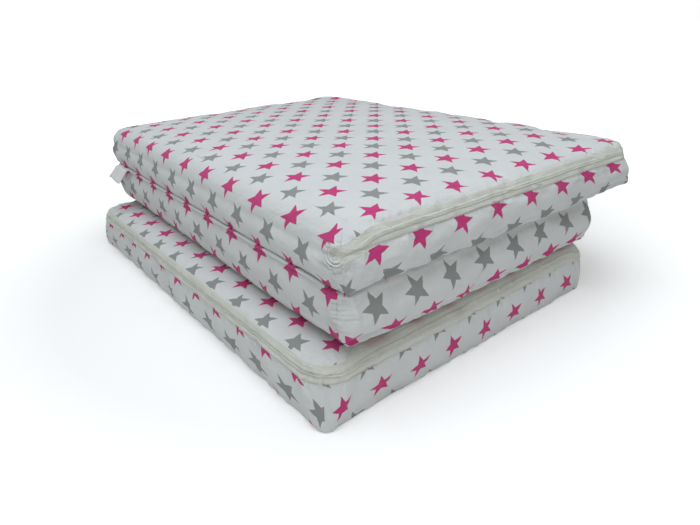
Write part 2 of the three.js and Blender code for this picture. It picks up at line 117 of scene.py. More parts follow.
class Board:
    """A material's node tree, with short calls for the nodes that these finishes use."""

    def __init__(self, name: str) -> None:
        """Start an empty material.

        Args:
            name: The material's name.
        """
        self.material = bpy.data.materials.new(name)
        self.material.use_nodes = True
        self.tree = self.material.node_tree
        self.tree.nodes.clear()

    def node(self, kind: str, **settings: object) -> bpy.types.Node:
        """Add a node.

        Args:
            kind: The node's type name.
            **settings: Values for the node's own fields.

        Returns:
            The new node.
        """
        made = self.tree.nodes.new(kind)
        for name, value in settings.items():
            setattr(made, name, value)
        return made

    def feed(self, socket: Socket, value: Socket | float | tuple[float, ...]) -> None:
        """Link a socket to an input, or set the input's own value."""
        if isinstance(value, bpy.types.NodeSocket):
            self.tree.links.new(value, socket)
        else:
            socket.default_value = value

    def math(self, operation: str, *values: Socket | float, clamp: bool = False) -> Socket:
        """Add a maths node.

        Args:
            operation: The sum it does.
            *values: Its inputs, as sockets or numbers.
            clamp: Whether the result is kept between 0 and 1.

        Returns:
            Its output.
        """
        made = self.node("ShaderNodeMath", operation=operation, use_clamp=clamp)
        for socket, value in zip(made.inputs, values):
            self.feed(socket, value)
        return made.outputs[0]

    def plus(self, first: Socket | float, second: Socket | float, clamp: bool = False) -> Socket:
        """Add two values."""
        return self.math("ADD", first, second, clamp=clamp)

    def minus(self, first: Socket | float, second: Socket | float) -> Socket:
        """Take the second value from the first."""
        return self.math("SUBTRACT", first, second)

    def times(self, first: Socket | float, second: Socket | float) -> Socket:
        """Multiply two values."""
        return self.math("MULTIPLY", first, second)

    def over(self, first: Socket | float, second: Socket | float) -> Socket:
        """Divide the first value by the second."""
        return self.math("DIVIDE", first, second)

    def attribute(self, name: str) -> Socket:
        """Read a vector that the mesh carries at its points."""
        return self.node("ShaderNodeAttribute", attribute_name=name).outputs["Vector"]

    def place(self) -> Socket:
        """Read the place in the object's own coordinates."""
        return self.node("ShaderNodeTexCoord").outputs["Object"]

    def scaled(self, vector: Socket, scale: Triple) -> Socket:
        """Multiply a vector by three numbers."""
        made = self.node("ShaderNodeVectorMath", operation="MULTIPLY")
        self.feed(made.inputs[0], vector)
        made.inputs[1].default_value = scale
        return made.outputs["Vector"]

    def split(self, vector: Socket) -> tuple[Socket, Socket, Socket]:
        """Take a vector apart into its three numbers."""
        made = self.node("ShaderNodeSeparateXYZ")
        self.feed(made.inputs[0], vector)
        return made.outputs[0], made.outputs[1], made.outputs[2]

    def noise(self, vector: Socket, scale: float, detail: float = 2.0) -> Socket:
        """Add a soft noise.

        Args:
            vector: Where it is read.
            scale: How many of its clouds fit in one unit.
            detail: How many finer layers it has.

        Returns:
            Its value from 0 to 1.
        """
        made = self.node("ShaderNodeTexNoise")
        self.feed(made.inputs["Vector"], vector)
        made.inputs["Scale"].default_value = scale
        made.inputs["Detail"].default_value = detail
        return made.outputs["Fac"]

    def ramp(self, value: Socket, low: Row, high: Row) -> Socket:
        """Map a value from one range to another, and hold it inside.

        Args:
            value: The value to map.
            low: Where the range starts, and what it gives there.
            high: Where the range ends, and what it gives there.

        Returns:
            The mapped value.
        """
        made = self.node("ShaderNodeMapRange")
        numbers = (value, low[0], high[0], low[1], high[1])
        for socket, number in zip(made.inputs, numbers):
            self.feed(socket, number)
        return made.outputs[0]

    def mix(self, share: Socket | float, first: object, second: object) -> Socket:
        """Mix two colours.

        Args:
            share: How much of the second colour there is.
            first: The first colour, a socket or three numbers.
            second: The second colour.

        Returns:
            The mixed colour.
        """
        made = self.node("ShaderNodeMix", data_type="RGBA")
        self.feed(made.inputs["Factor"], share)
        for name, colour in (("A", first), ("B", second)):
            socket = [s for s in made.inputs if s.name == name and s.type == "RGBA"][0]
            self.feed(socket, colour if isinstance(colour, bpy.types.NodeSocket) else (*colour, 1))
        return [s for s in made.outputs if s.type == "RGBA"][0]

    def bump(self, height: Socket, distance: float, normal: Socket | None = None) -> Socket:
        """Turn a height into a bumped normal.

        Args:
            height: The height, in units of the distance.
            distance: What one unit of height is, in metres.
            normal: The normal to start from, if another bump comes first.

        Returns:
            The bumped normal.
        """
        made = self.node("ShaderNodeBump")
        made.inputs["Strength"].default_value = 1.0
        made.inputs["Distance"].default_value = distance
        self.feed(made.inputs["Height"], height)
        if normal is not None:
            self.feed(made.inputs["Normal"], normal)
        return made.outputs[0]

    def pulls(self, normal: Socket) -> Socket:
        """Add the small folds across the seams. The mesh carries the distances to them as "pull".

        Args:
            normal: The normal to start from.

        Returns:
            The bumped normal.
        """
        level, upright, _ = self.split(self.attribute("pull"))
        for distance, reach, scale, depth in ((level, 8.0, (150.0, 150.0, 35.0), 0.003),
                                              (upright, 13.0, (30.0, 30.0, 190.0), 0.007)):
            near = self.math("EXPONENT", self.over(distance, -reach))
            folds = self.noise(self.scaled(self.place(), scale), 1.0, 1.0)
            normal = self.bump(self.times(near, folds), depth, normal)
        return normal

    def swirl(self, normal: Socket) -> Socket:
        """Add the pleats round a zip's end.

        The mesh carries its place round the nearest end, in millimetres, as "swirl", with the
        strength there as the third number.

        Args:
            normal: The normal to start from.

        Returns:
            The bumped normal.
        """
        across, up, strength = self.split(self.attribute("swirl"))
        squares = self.plus(self.times(across, across), self.times(up, up))
        apart = self.math("SQRT", squares)
        turns = self.over(self.math("ARCTAN2", up, across), 2 * math.pi)
        spiral = self.plus(self.over(apart, 2.7), turns)
        pleats = self.math("ABSOLUTE", self.math("SINE", self.times(spiral, math.pi)))
        return self.bump(self.times(pleats, strength), 0.0008, normal)

    def surface(self, colour: object, roughness: float, normal: Socket | None = None,
                **values: float) -> bpy.types.Material:
        """End the tree with a principled shader.

        Args:
            colour: The base colour, a socket or three numbers.
            roughness: The shader's roughness.
            normal: The bumped normal.
            **values: More of the shader's sockets, with spaces as low lines.

        Returns:
            The finished material.
        """
        shader = self.node("ShaderNodeBsdfPrincipled")
        is_socket = isinstance(colour, bpy.types.NodeSocket)
        self.feed(shader.inputs["Base Color"], colour if is_socket else (*colour, 1))
        shader.inputs["Roughness"].default_value = roughness
        for name, value in values.items():
            shader.inputs[name.replace("_", " ")].default_value = value
        if normal is not None:
            self.feed(shader.inputs["Normal"], normal)
        output = self.node("ShaderNodeOutputMaterial")
        self.feed(output.inputs["Surface"], shader.outputs[0])
        return self.material


@dataclass(frozen=True)
class PrintedCotton:
    """White plain-weave cotton, printed with rows of pink and of grey five-pointed stars."""

    cloth: Colour = (0.77, 0.785, 0.785)
    pink: Colour = (0.60, 0.045, 0.21)
    grey: Colour = (0.30, 0.315, 0.305)
    in_row: float = 57.5
    row_pair: float = 46.5
    star_radius: float = 14.2
    waist_share: float = 0.43
    edge_softness: float = 0.45
    thread: float = 0.55

    def star(self, board: Board, along: Socket, across: Socket, size: Socket) -> Socket:
        """Mask one lattice of stars, whose tips point down the rows' cross direction.

        Args:
            board: The material that it goes into.
            along: Millimetres along the rows from a star's centre.
            across: Millimetres across the rows from a star's centre.
            size: The star's radius in millimetres.

        Returns:
            1 inside a star and 0 outside.
        """
        def nearest(value: Socket, step: float) -> Socket:
            """Measure from the nearest of a row's stars."""
            shifted = board.plus(value, step / 2)
            wrapped = board.math("FLOORED_MODULO", shifted, step)
            return board.minus(wrapped, step / 2)

        u = nearest(along, self.in_row)
        v = nearest(across, self.row_pair)
        reach = board.math("SQRT", board.plus(board.times(u, u), board.times(v, v)))
        angle = board.math("ARCTAN2", u, board.times(v, -1.0))
        turns = board.times(angle, 5 / (2 * math.pi))
        apart = board.math("ABSOLUTE", board.minus(turns, board.math("ROUND", turns)))
        folded = board.times(apart, 2 * math.pi / 5)
        x = board.times(reach, board.math("COSINE", folded))
        y = board.times(reach, board.math("SINE", folded))
        edge_x = self.waist_share * math.cos(math.pi / 5) - 1
        edge_y = self.waist_share * math.sin(math.pi / 5)
        length = math.hypot(edge_x, edge_y)
        normal_x, normal_y = edge_y / length, -edge_x / length
        side = board.plus(board.times(x, normal_x), board.times(y, normal_y))
        inside = board.minus(board.times(size, normal_x), side)
        soft = board.over(inside, self.edge_softness)
        return board.plus(soft, 0.5, clamp=True)

    def build(self) -> bpy.types.Material:
        """Make the material. The mesh carries the print's place, in millimetres, as "print"."""
        board = Board("printed_cotton")
        place = board.attribute("print")
        along, across, less = board.split(place)
        size = board.minus(self.star_radius, less)
        wobble = board.minus(board.noise(place, 0.35, 2.0), 0.5)
        across_w = board.plus(across, wobble)
        pink = self.star(board, along, across_w, size)
        half_along = board.plus(along, self.in_row / 2)
        half_across = board.plus(across_w, self.row_pair / 2)
        grey = self.star(board, half_along, half_across, size)
        wave = 2 * math.pi / self.thread
        warp = board.math("SINE", board.times(along, wave))
        weft = board.math("SINE", board.times(across, wave))
        weave = board.times(warp, weft)
        cloudy = board.noise(place, 0.02, 3.0)
        tone = board.ramp(cloudy, (0.3, 0.0), (0.7, 1.0))
        shade = tuple(c * 0.95 for c in self.cloth)
        cloth = board.mix(tone, shade, self.cloth)
        slub = board.ramp(board.noise(place, 1.1, 3.0), (0.35, 0.0), (0.75, 0.25))
        grey_ink = board.mix(slub, self.grey, tuple(c * 1.35 for c in self.grey))
        pink_ink = board.mix(slub, self.pink, (0.72, 0.13, 0.32))
        colour = board.mix(pink, board.mix(grey, cloth, grey_ink), pink_ink)
        crumple = board.noise(place, 0.12, 4.0)
        normal = board.swirl(board.pulls(board.bump(crumple, 0.0011)))
        normal = board.bump(weave, 0.00003, normal)
        return board.surface(colour, 0.92, normal, Sheen_Weight=0.12, Sheen_Roughness=0.5,
                             Specular_IOR_Level=0.2)


@dataclass(frozen=True)
class TapeCloth:
    """Ivory zip tape: a fine herringbone in polyester."""

    name: str
    colour: Colour = (0.76, 0.77, 0.72)
    rib: float = 0.8

    def build(self) -> bpy.types.Material:
        """Make the material. The mesh carries its place along and across the tape as "print"."""
        board = Board(self.name)
        place = board.attribute("print")
        along, across, _ = board.split(place)
        zigzag = board.math("PINGPONG", across, 1.6)
        slant = board.plus(along, zigzag)
        wave = board.math("SINE", board.times(slant, 2 * math.pi / self.rib))
        cloudy = board.noise(place, 0.03, 3.0)
        tone = board.ramp(cloudy, (0.35, 0.0), (0.65, 1.0))
        dull = (self.colour[0] * 0.94, self.colour[1] * 0.93, self.colour[2] * 0.9)
        colour = board.mix(tone, dull, self.colour)
        creases = board.noise(board.scaled(place, (0.012, 0.8, 1.0)), 1.0, 2.0)
        normal = board.swirl(board.bump(creases, 0.0009))
        normal = board.bump(wave, 0.00004, normal)
        return board.surface(colour, 0.8, normal, Sheen_Weight=0.15, Specular_IOR_Level=0.3)


@dataclass(frozen=True)
class Moulded:
    """A plain hard finish with a slight unevenness: nylon coil, or lacquered zip metal."""

    name: str
    colour: Colour
    roughness: float
    metal: float = 0.0

    def build(self) -> bpy.types.Material:
        """Make the material from object coordinates."""
        board = Board(self.name)
        place = board.place()
        cloudy = board.ramp(board.noise(place, 60.0, 3.0), (0.35, 0.0), (0.65, 1.0))
        colour = board.mix(cloudy, tuple(c * 0.9 for c in self.colour), self.colour)
        normal = board.bump(board.noise(place, 1500.0, 2.0), 0.00004)
        return board.surface(colour, self.roughness, normal, Metallic=self.metal)


@dataclass(frozen=True)
class CutFoam:
    """Open-cell foam, cut from the block."""

    colour: Colour = (0.83, 0.78, 0.56)

    def build(self) -> bpy.types.Material:
        """Make the material from object coordinates."""
        board = Board("cut_foam")
        place = board.place()
        cells = board.node("ShaderNodeTexVoronoi")
        board.feed(cells.inputs["Vector"], place)
        cells.inputs["Scale"].default_value = 900.0
        pore_shade_and_depth = board.ramp(cells.outputs["Distance"], (0.1, 0.0), (0.6, 1.0))
        # The darker colour in the pores is painted shade, darkest at each cell's middle where the
        # bump is lowest.
        colour = board.mix(pore_shade_and_depth, tuple(c * 0.75 for c in self.colour), self.colour)
        normal = board.bump(pore_shade_and_depth, 0.0004)
        return board.surface(colour, 0.95, normal)


@dataclass(frozen=True)
class LabelCloth:
    """A blank woven label in white satin weave."""

    colour: Colour = (0.78, 0.79, 0.79)
    rib: float = 0.35

    def build(self) -> bpy.types.Material:
        """Make the material. The mesh carries its place in millimetres as "print"."""
        board = Board("label_cloth")
        place = board.attribute("print")
        _, across, _ = board.split(place)
        ribs = board.math("SINE", board.times(across, 2 * math.pi / self.rib))
        cloudy = board.ramp(board.noise(place, 0.15, 3.0), (0.35, 0.0), (0.65, 1.0))
        colour = board.mix(cloudy, tuple(c * 0.93 for c in self.colour), self.colour)
        normal = board.bump(board.noise(place, 0.3, 2.0), 0.0004)
        normal = board.bump(ribs, 0.00002, normal)
        return board.surface(colour, 0.55, normal, Sheen_Weight=0.1)


# Geometry


@dataclass(frozen=True)
class Unevenness:
    """Smooth seeded noise over points in millimetres."""

    size: float
    seed: int

    def at(self, points: np.ndarray) -> np.ndarray:
        """Read the noise.

        Args:
            points: Places, one a row.

        Returns:
            A value from -1 to 1 at each.
        """
        cell = np.floor(points / self.size)
        part = points / self.size - cell
        part = part * part * part * (part * (part * 6 - 15) + 10)
        total = np.zeros(len(points))
        for corner in range(8):
            step = np.array([corner & 1, corner >> 1 & 1, corner >> 2 & 1])
            index = (cell + step).astype(np.int64)
            mixed = (index[:, 0] * 73856093) ^ (index[:, 1] * 19349663) ^ (index[:, 2] * 83492791)
            mixed = (mixed ^ (self.seed * 2654435761)) & 0xFFFFFFFF
            mixed = ((mixed ^ (mixed >> 15)) * 2246822519) & 0xFFFFFFFF
            mixed = ((mixed ^ (mixed >> 13)) * 3266489917) & 0xFFFFFFFF
            value = (mixed ^ (mixed >> 16)) / 0xFFFFFFFF * 2 - 1
            weight = np.prod(np.where(step, part, 1 - part), axis=1)
            total += value * weight
        return total


@dataclass(frozen=True)
class Station:
    """One line round a panel, by its place on the side's profile in millimetres."""

    band: Band
    inset: float
    height: float
    bulge: float = 0.0
    corner_share: float = 0.0


Profiles = list[tuple[np.ndarray, list[Station]]]


@dataclass(frozen=True)
class PrintPlace:
    """Where the print lies on a cloth: its rows' start, stretch and slant, and how much smaller
    its stars are, in millimetres of radius."""

    along_start: float
    across_start: float
    along_scale: float = 1.0
    across_scale: float = 1.0
    slant: float = 0.0
    shrink: float = 0.0

    def at(self, along: np.ndarray, across: np.ndarray) -> np.ndarray:
        """Turn places on the cloth, in millimetres, into places on the print, one a row."""
        a = (along - self.along_start) * self.along_scale
        b = (across - self.across_start) * self.across_scale + a * self.slant
        return np.stack([a, b, np.full_like(a, self.shrink)], axis=1)


@dataclass
class Outline:
    """A panel's outline from above: columns along four sides and round four corners."""

    length: float
    width: float
    corner_radii: Corners
    foot_corner: float
    long_cells: int
    wide_cells: int
    corner_cells: int = 18

    signs = ((-1, -1), (1, -1), (1, 1), (-1, 1))

    @staticmethod
    def spread(side: Side, step: float) -> float:
        """Space a side's columns closer near the fold's corners.

        Args:
            side: The side.
            step: The column's even place along the straight, from 0 to 1.

        Returns:
            Its place along the straight.
        """
        if side is Side.FRONT:
            return 0.45 * step + 0.55 * step ** 1.8
        if side is Side.BACK:
            return 1 - (0.45 * (1 - step) + 0.55 * (1 - step) ** 1.8)
        if side is Side.FOLD:
            return step - 0.10 * math.sin(2 * math.pi * step)
        return step

    def __post_init__(self) -> None:
        """Lay out the columns of the four sides."""
        starts, ends, shares, angles, sides = [], [], [], [], []
        for side in Side:
            cells = self.long_cells if side in (Side.FRONT, Side.BACK) else self.wide_cells
            straight = cells - 2 * self.corner_cells
            first, last = side.value, (side.value + 1) % 4
            base = math.radians(90 * side.value - 90)
            for step in range(cells):
                if step < self.corner_cells:
                    turn = (step / self.corner_cells) ** 1.25
                    place = (first, first, 0.0, base - math.pi / 4 * (1 - turn))
                elif step <= cells - self.corner_cells:
                    share = self.spread(side, (step - self.corner_cells) / straight)
                    place = (first, last, share, base)
                else:
                    turn = ((cells - step) / self.corner_cells) ** 1.25
                    place = (last, last, 0.0, base + math.pi / 4 * (1 - turn))
                for values, value in zip((starts, ends, shares, angles), place):
                    values.append(value)
                sides.append(side)
        self.start = np.array(starts)
        self.end = np.array(ends)
        self.share = np.array(shares)
        self.angle = np.array(angles)
        self.side = sides
        self.out = np.stack([np.cos(self.angle), np.sin(self.angle)], axis=1)
        self.count = len(sides)
        self.arc = self.measure()

    def corners(self, station: Station) -> tuple[np.ndarray, np.ndarray]:
        """Find the corners' centres and radii at a station.

        Args:
            station: The line round the panel.

        Returns:
            Four centres, and four radii.
        """
        radii = np.array(self.corner_radii)
        nominal = radii + (self.foot_corner - radii) * station.corner_share
        signs = np.array(self.signs, float)
        half = np.array([self.length / 2, self.width / 2])
        kept = np.maximum(nominal - station.inset, 5.0)
        return signs * (half - station.inset - kept[:, None]), kept

    def ring(self, station: Station, bulges: np.ndarray) -> np.ndarray:
        """Place the columns on one station.

        Args:
            station: The line round the panel.
            bulges: How far each column swells at the fullest station.

        Returns:
            One place for each column, in millimetres.
        """
        centres, radii = self.corners(station)
        share = self.share[:, None]
        centre = centres[self.start] * (1 - share) + centres[self.end] * share
        radius = radii[self.start] * (1 - self.share) + radii[self.end] * self.share
        plan = centre + self.out * (radius + station.bulge * bulges)[:, None]
        return np.column_stack([plan, np.full(self.count, station.height)])

    def measure(self) -> np.ndarray:
        """Measure along the outline, from the middle of the first corner."""
        ring = self.ring(Station(Band.WALL, 0, 0), np.zeros(self.count))
        steps = np.linalg.norm(np.diff(ring, axis=0), axis=1)
        return np.concatenate([[0], np.cumsum(steps)])

    def side_slice(self, side: Side) -> np.ndarray:
        """List the columns of one side, with both its ends."""
        sizes = [self.long_cells, self.wide_cells] * 2
        first = sum(sizes[: side.value])
        return (first + np.arange(sizes[side.value] + 1)) % self.count


@dataclass
class Skin:
    """A panel's whole skin in its own frame: rings of points, and a grid over each face."""

    outline: Outline
    profiles: Profiles
    bulges: np.ndarray
    crown: float = 0.0
    tuck: float = 0.0
    wide_tape: bool = False
    seam_columns: int = 10
    points: np.ndarray = field(init=False)
    quads: np.ndarray = field(init=False)
    pull: np.ndarray = field(init=False)
    swirl: np.ndarray = field(init=False)

    def __post_init__(self) -> None:
        """Build the points, the cells and what is measured along them."""
        self.stations = self.profiles[0][1]
        rings = [sum(share[:, None] * self.outline.ring(line[row], self.bulges)
                     for share, line in self.profiles) for row in range(len(self.stations))]
        if self.tuck:
            rings = self.move_rows(np.array(rings))
        self.ring_count = len(rings)
        count = self.outline.count
        self.ids = np.arange(self.ring_count * count).reshape(self.ring_count, count)
        self.points = np.concatenate(rings)
        self.bands: list[Band] = []
        self.sides: list[Side] = []
        quads = []
        for row in range(self.ring_count - 1):
            for col in range(count):
                following = (col + 1) % count
                quads.append((self.ids[row, col], self.ids[row + 1, col],
                              self.ids[row + 1, following], self.ids[row, following]))
                self.bands.append(self.stations[row].band)
                self.sides.append(self.side_of(col))
        self.upper_grid = self.add_face(0, Band.UPPER_FACE, quads)
        self.add_face(self.ring_count - 1, Band.LOWER_FACE, quads)
        self.quads = np.array(quads)
        self.raise_crown()
        self.unroll()

    def add_face(self, row: int, band: Band, quads: list[tuple[int, ...]]) -> np.ndarray:
        """Fill a face inside its rim with a grid that meets the rim's columns.

        Args:
            row: The ring that is the face's rim.
            band: The face's band.
            quads: The list that the face's cells are added to.

        Returns:
            The grid's point numbers, by length and by width.
        """
        rim = self.ids[row]
        front = rim[self.outline.side_slice(Side.FRONT)]
        end = rim[self.outline.side_slice(Side.END)]
        back = rim[self.outline.side_slice(Side.BACK)][::-1]
        fold = rim[self.outline.side_slice(Side.FOLD)][::-1]
        columns, rows = len(front), len(fold)
        place = self.points
        u = (place[front, 0] - place[front[0], 0]) / np.ptp(place[front, 0])
        v_fold = (place[fold, 1] - place[fold[0], 1]) / np.ptp(place[fold, 1])
        v_end = (place[end, 1] - place[end[0], 1]) / np.ptp(place[end, 1])
        v = (v_fold + v_end) / 2
        grid = np.zeros((columns, rows), int)
        grid[:, 0], grid[:, -1], grid[0, :], grid[-1, :] = front, back, fold, end
        u_, v_ = u[1:-1, None, None], v[None, 1:-1, None]
        inside = ((1 - v_) * place[front[1:-1], None] + v_ * place[back[1:-1], None]
                  + (1 - u_) * place[None, fold[1:-1]] + u_ * place[None, end[1:-1]]
                  - (1 - u_) * (1 - v_) * place[front[0]] - u_ * (1 - v_) * place[front[-1]]
                  - (1 - u_) * v_ * place[back[0]] - u_ * v_ * place[back[-1]])
        start = len(self.points)
        self.points = np.concatenate([self.points, inside.reshape(-1, 3)])
        grid[1:-1, 1:-1] = start + np.arange(inside[..., 0].size).reshape(inside.shape[:2])
        for i in range(columns - 1):
            for j in range(rows - 1):
                cell = (grid[i, j], grid[i + 1, j], grid[i + 1, j + 1], grid[i, j + 1])
                quads.append(cell if band is Band.UPPER_FACE else cell[::-1])
                self.bands.append(band)
                self.sides.append(Side.FRONT)
        return grid

    def side_of(self, col: int) -> Side:
        """Tell whose cloth covers a column: the long bands reach past the fold's corners."""
        fold = self.outline.side_slice(Side.FOLD)
        if col >= fold[0] and col - fold[0] < self.seam_columns:
            return Side.BACK
        if col >= self.outline.count - self.seam_columns:
            return Side.FRONT
        return self.outline.side[col]

    def move_rows(self, rings: np.ndarray) -> list[np.ndarray]:
        """Run the zip's closed ends down into the fold's corners, and widen its upper tape.

        Args:
            rings: The rings' points, by station and column.

        Returns:
            The rings with their stations moved along the profile.
        """
        arc = self.outline.arc
        front = arc[self.outline.side_slice(Side.FRONT)[-1]]
        back, fold = (arc[self.outline.side_slice(side)[0]] for side in (Side.BACK, Side.FOLD))
        upper, middle, lower = (self.row_of(b) for b in (Band.UPPER_TAPE, Band.PARTING, Band.WALL))
        for col in range(self.outline.count):
            side = self.outline.side[col]
            if side is Side.END:
                continue
            apart = {Side.FRONT: arc[col], Side.BACK: fold - arc[col]}.get(
                side, min(arc[col] - fold, arc[-1] - arc[col]))
            share = max(0.0, 1 - apart / 46.0) ** 2
            wide = 0.0
            if self.wide_tape and side is not Side.FOLD:
                from_end = front - arc[col] if side is Side.FRONT else arc[col] - back
                wide = min(max((from_end - 20.0) / 45.0, 0.0), 1.0)
            line = rings[:, col]
            place = np.concatenate([[0], np.cumsum(np.linalg.norm(np.diff(line, axis=0), axis=1))])
            centre = place[middle] + self.tuck * share
            past = min(apart / 9.0, 1.0) if side is Side.FOLD else 0.0
            upper_width = (1 - 0.2 * share) * (1 - 0.85 * past)
            lower_width = (1 - 0.25 * share) * (1 - 0.7 * past)
            first = centre - (place[middle] - place[upper]) * upper_width
            marks = [0, place[upper], place[middle], place[lower], place[-1]]
            moved = [0, first + (0.4 - first) * wide * wide * (3 - 2 * wide), centre,
                     centre + (place[lower] - place[middle]) * lower_width, place[-1]]
            target = np.interp(place, marks, moved)
            rings[:, col] = np.stack([np.interp(target, place, line[:, i]) for i in range(3)], 1)
        return list(rings)

    def raise_crown(self) -> None:
        """Raise the upper face to its crown, highest in the middle."""
        inset = self.stations[0].inset
        ids = self.upper_grid.ravel()
        x = np.abs(self.points[ids, 0] / (self.outline.length / 2 - inset))
        y = np.abs(self.points[ids, 1] / (self.outline.width / 2 - inset))
        lift = self.crown * np.clip(1 - x ** 4, 0, 1) * np.clip(1 - y ** 4, 0, 1)
        self.points[ids, 2] += lift

    def unroll(self) -> None:
        """Measure each point's place on the cloth, from either face and along the sides."""
        count = self.outline.count
        rings = self.points[: self.ring_count * count].reshape(self.ring_count, count, 3)
        steps = np.linalg.norm(np.diff(rings, axis=0), axis=2)
        down = np.concatenate([np.zeros((1, count)), np.cumsum(steps, axis=0)])
        total = len(self.points)
        self.from_upper = self.points[:, :2].copy()
        self.from_lower = self.points[:, :2].copy()
        size = self.ring_count * count
        self.from_upper[:size] = self.hang(rings, rings[0], down).reshape(-1, 2)
        self.from_lower[:size] = self.hang(rings, rings[-1], down[-1] - down).reshape(-1, 2)
        arc = self.outline.arc.copy()
        arc[-self.seam_columns:] -= 2 * arc[-1] - arc[-2]
        self.along = np.zeros(total)
        self.along[:size] = np.tile(arc, self.ring_count)
        self.down = np.zeros(total)
        self.down[:size] = down.ravel()

    def hang(self, rings: np.ndarray, rim: np.ndarray, drop: np.ndarray) -> np.ndarray:
        """Unroll the sides from a rim: straight down on the fold and the end side.

        Args:
            rings: The rings' points, by station and column.
            rim: The ring that the cloth hangs from.
            drop: How far each point hangs below it.

        Returns:
            Each point's unrolled X and Y.
        """
        plan = rim[:, :2] + drop[..., None] * self.outline.out
        for side, heading in ((Side.FOLD, -1), (Side.END, 1)):
            columns = self.outline.side_slice(side)
            steps = np.linalg.norm(np.diff(rings[:, columns, :2], axis=1), axis=2)
            arc = np.concatenate([np.zeros((len(rings), 1)), np.cumsum(steps, axis=1)], axis=1)
            middle = len(columns) // 2
            arc -= arc[:, middle:middle + 1]
            hung = drop[:, columns]
            heights = rings[:, columns, 2]
            order = np.argsort(heights[:, middle])
            level = np.array([np.interp(30.0, heights[order, i], hung[order, i])
                              for i in range(len(columns))])
            hung = hung + level[middle] - level
            straight = np.stack([rim[columns[middle], 0] + heading * hung,
                                 rim[columns[middle], 1] + heading * arc], axis=2)
            share = np.clip((drop[:, columns] - 14.0) / 16.0, 0, 1)[..., None]
            plan[:, columns] = plan[:, columns] * (1 - share) + straight * share
        return plan

    def normals(self) -> np.ndarray:
        """Find the outward direction at each point."""
        corner = self.points[self.quads]
        face = np.cross(corner[:, 2] - corner[:, 0], corner[:, 3] - corner[:, 1])
        heading = {Band.UPPER_FACE: 1.0, Band.LOWER_FACE: -1.0}
        wanted = np.array([heading.get(band, 0.0) for band in self.bands])
        face[face[:, 2] * wanted < 0] *= -1
        total = np.zeros_like(self.points)
        for index in range(4):
            np.add.at(total, self.quads[:, index], face)
        length = np.linalg.norm(total, axis=1, keepdims=True)
        return total / np.maximum(length, 1e-9)

    @property
    def stations_bands(self) -> set[Band]:
        """The bands that the rings open."""
        return {station.band for station in self.stations}

    def sewn(self, band: Band) -> np.ndarray:
        """Say which columns have a seam where a band begins. A zipped fold side has one only
        at its foot."""
        plain = self.tuck > 0 and band is not Band.LOWER_EDGE
        return self.outline.out[:, 0] > (-0.75 if plain else -2.0)

    def row_of(self, band: Band) -> int:
        """Find the first station of a band."""
        return next(i for i, s in enumerate(self.stations) if s.band is band)


def arc_stations(band: Band, radius: float, centre: float, angles: np.ndarray,
                 corner_share: float = 0.0) -> list[Station]:
    """Place stations on a rounded edge.

    Args:
        band: The band that they open.
        radius: The edge's radius.
        centre: The height of the rounding's centre.
        angles: The normal's angles above the horizontal, in degrees.
        corner_share: How far the corners have turned to the foot's radius.

    Returns:
        The stations.
    """
    turned = np.radians(angles)
    insets = radius - radius * np.cos(turned)
    heights = centre + radius * np.sin(turned)
    return [Station(band, float(i), float(h), 0.0, corner_share) for i, h in zip(insets, heights)]


def wall_stations(upper: float, lower: float, cells: int) -> list[Station]:
    """Place stations down a wall that bulges like half a barrel, without its last line."""
    shares = np.arange(cells) / cells
    return [Station(Band.WALL, 0.0, upper + (lower - upper) * s, math.sin(math.pi * s), s)
            for s in shares]


def thinned(profiles: Profiles, thin: int) -> Profiles:
    """Drop stations, but none that opens a band.

    Args:
        profiles: The profiles with their shares.
        thin: Keep one station in this many.

    Returns:
        The profiles with the stations that are left.
    """
    bands = [station.band for station in profiles[0][1]]
    kept = [i for i, band in enumerate(bands)
            if i % thin == 0 or band is not bands[i - 1] or i == len(bands) - 1]
    return [(share, [line[i] for i in kept]) for share, line in profiles]


def held_points(skin: Skin, resting: tuple[Band, ...], strip: float = -1.0) -> np.ndarray:
    """Say how firmly the points of a skin are held while its cloth settles.

    Args:
        skin: The skin.
        resting: The bands that lie on another panel or on the floor.
        strip: How wide a strip of the upper face is free at the panel's end, or none if negative.

    Returns:
        1 where a face rests, a half at the seams and 0 elsewhere.
    """
    held = np.zeros(len(skin.points))
    for band in (Band.UPPER_TAPE, Band.PARTING, Band.WALL, Band.LOWER_EDGE):
        if band in skin.stations_bands:
            held[skin.ids[skin.row_of(band)][skin.sewn(band)]] = 0.5
    bands = np.array(skin.bands)
    for band in resting:
        held[np.unique(skin.quads[bands == band])] = 1.0
    if strip >= 0:
        face = np.unique(skin.upper_grid)
        under = skin.points[face, 0] < skin.outline.length / 2 - strip
        held[face[under]] = 1.0
    return held


def foot_stations(radius: float, seam_tilt: float = -72.0) -> list[Station]:
    """Place stations round the foot: wall cloth to the seam's tilt, then the lower face's."""
    wall = arc_stations(Band.WALL, radius, radius, np.linspace(0, seam_tilt, 9)[:-1], 1.0)
    edge = arc_stations(Band.LOWER_EDGE, radius, radius, np.linspace(seam_tilt, -90, 5), 1.0)
    return wall + edge


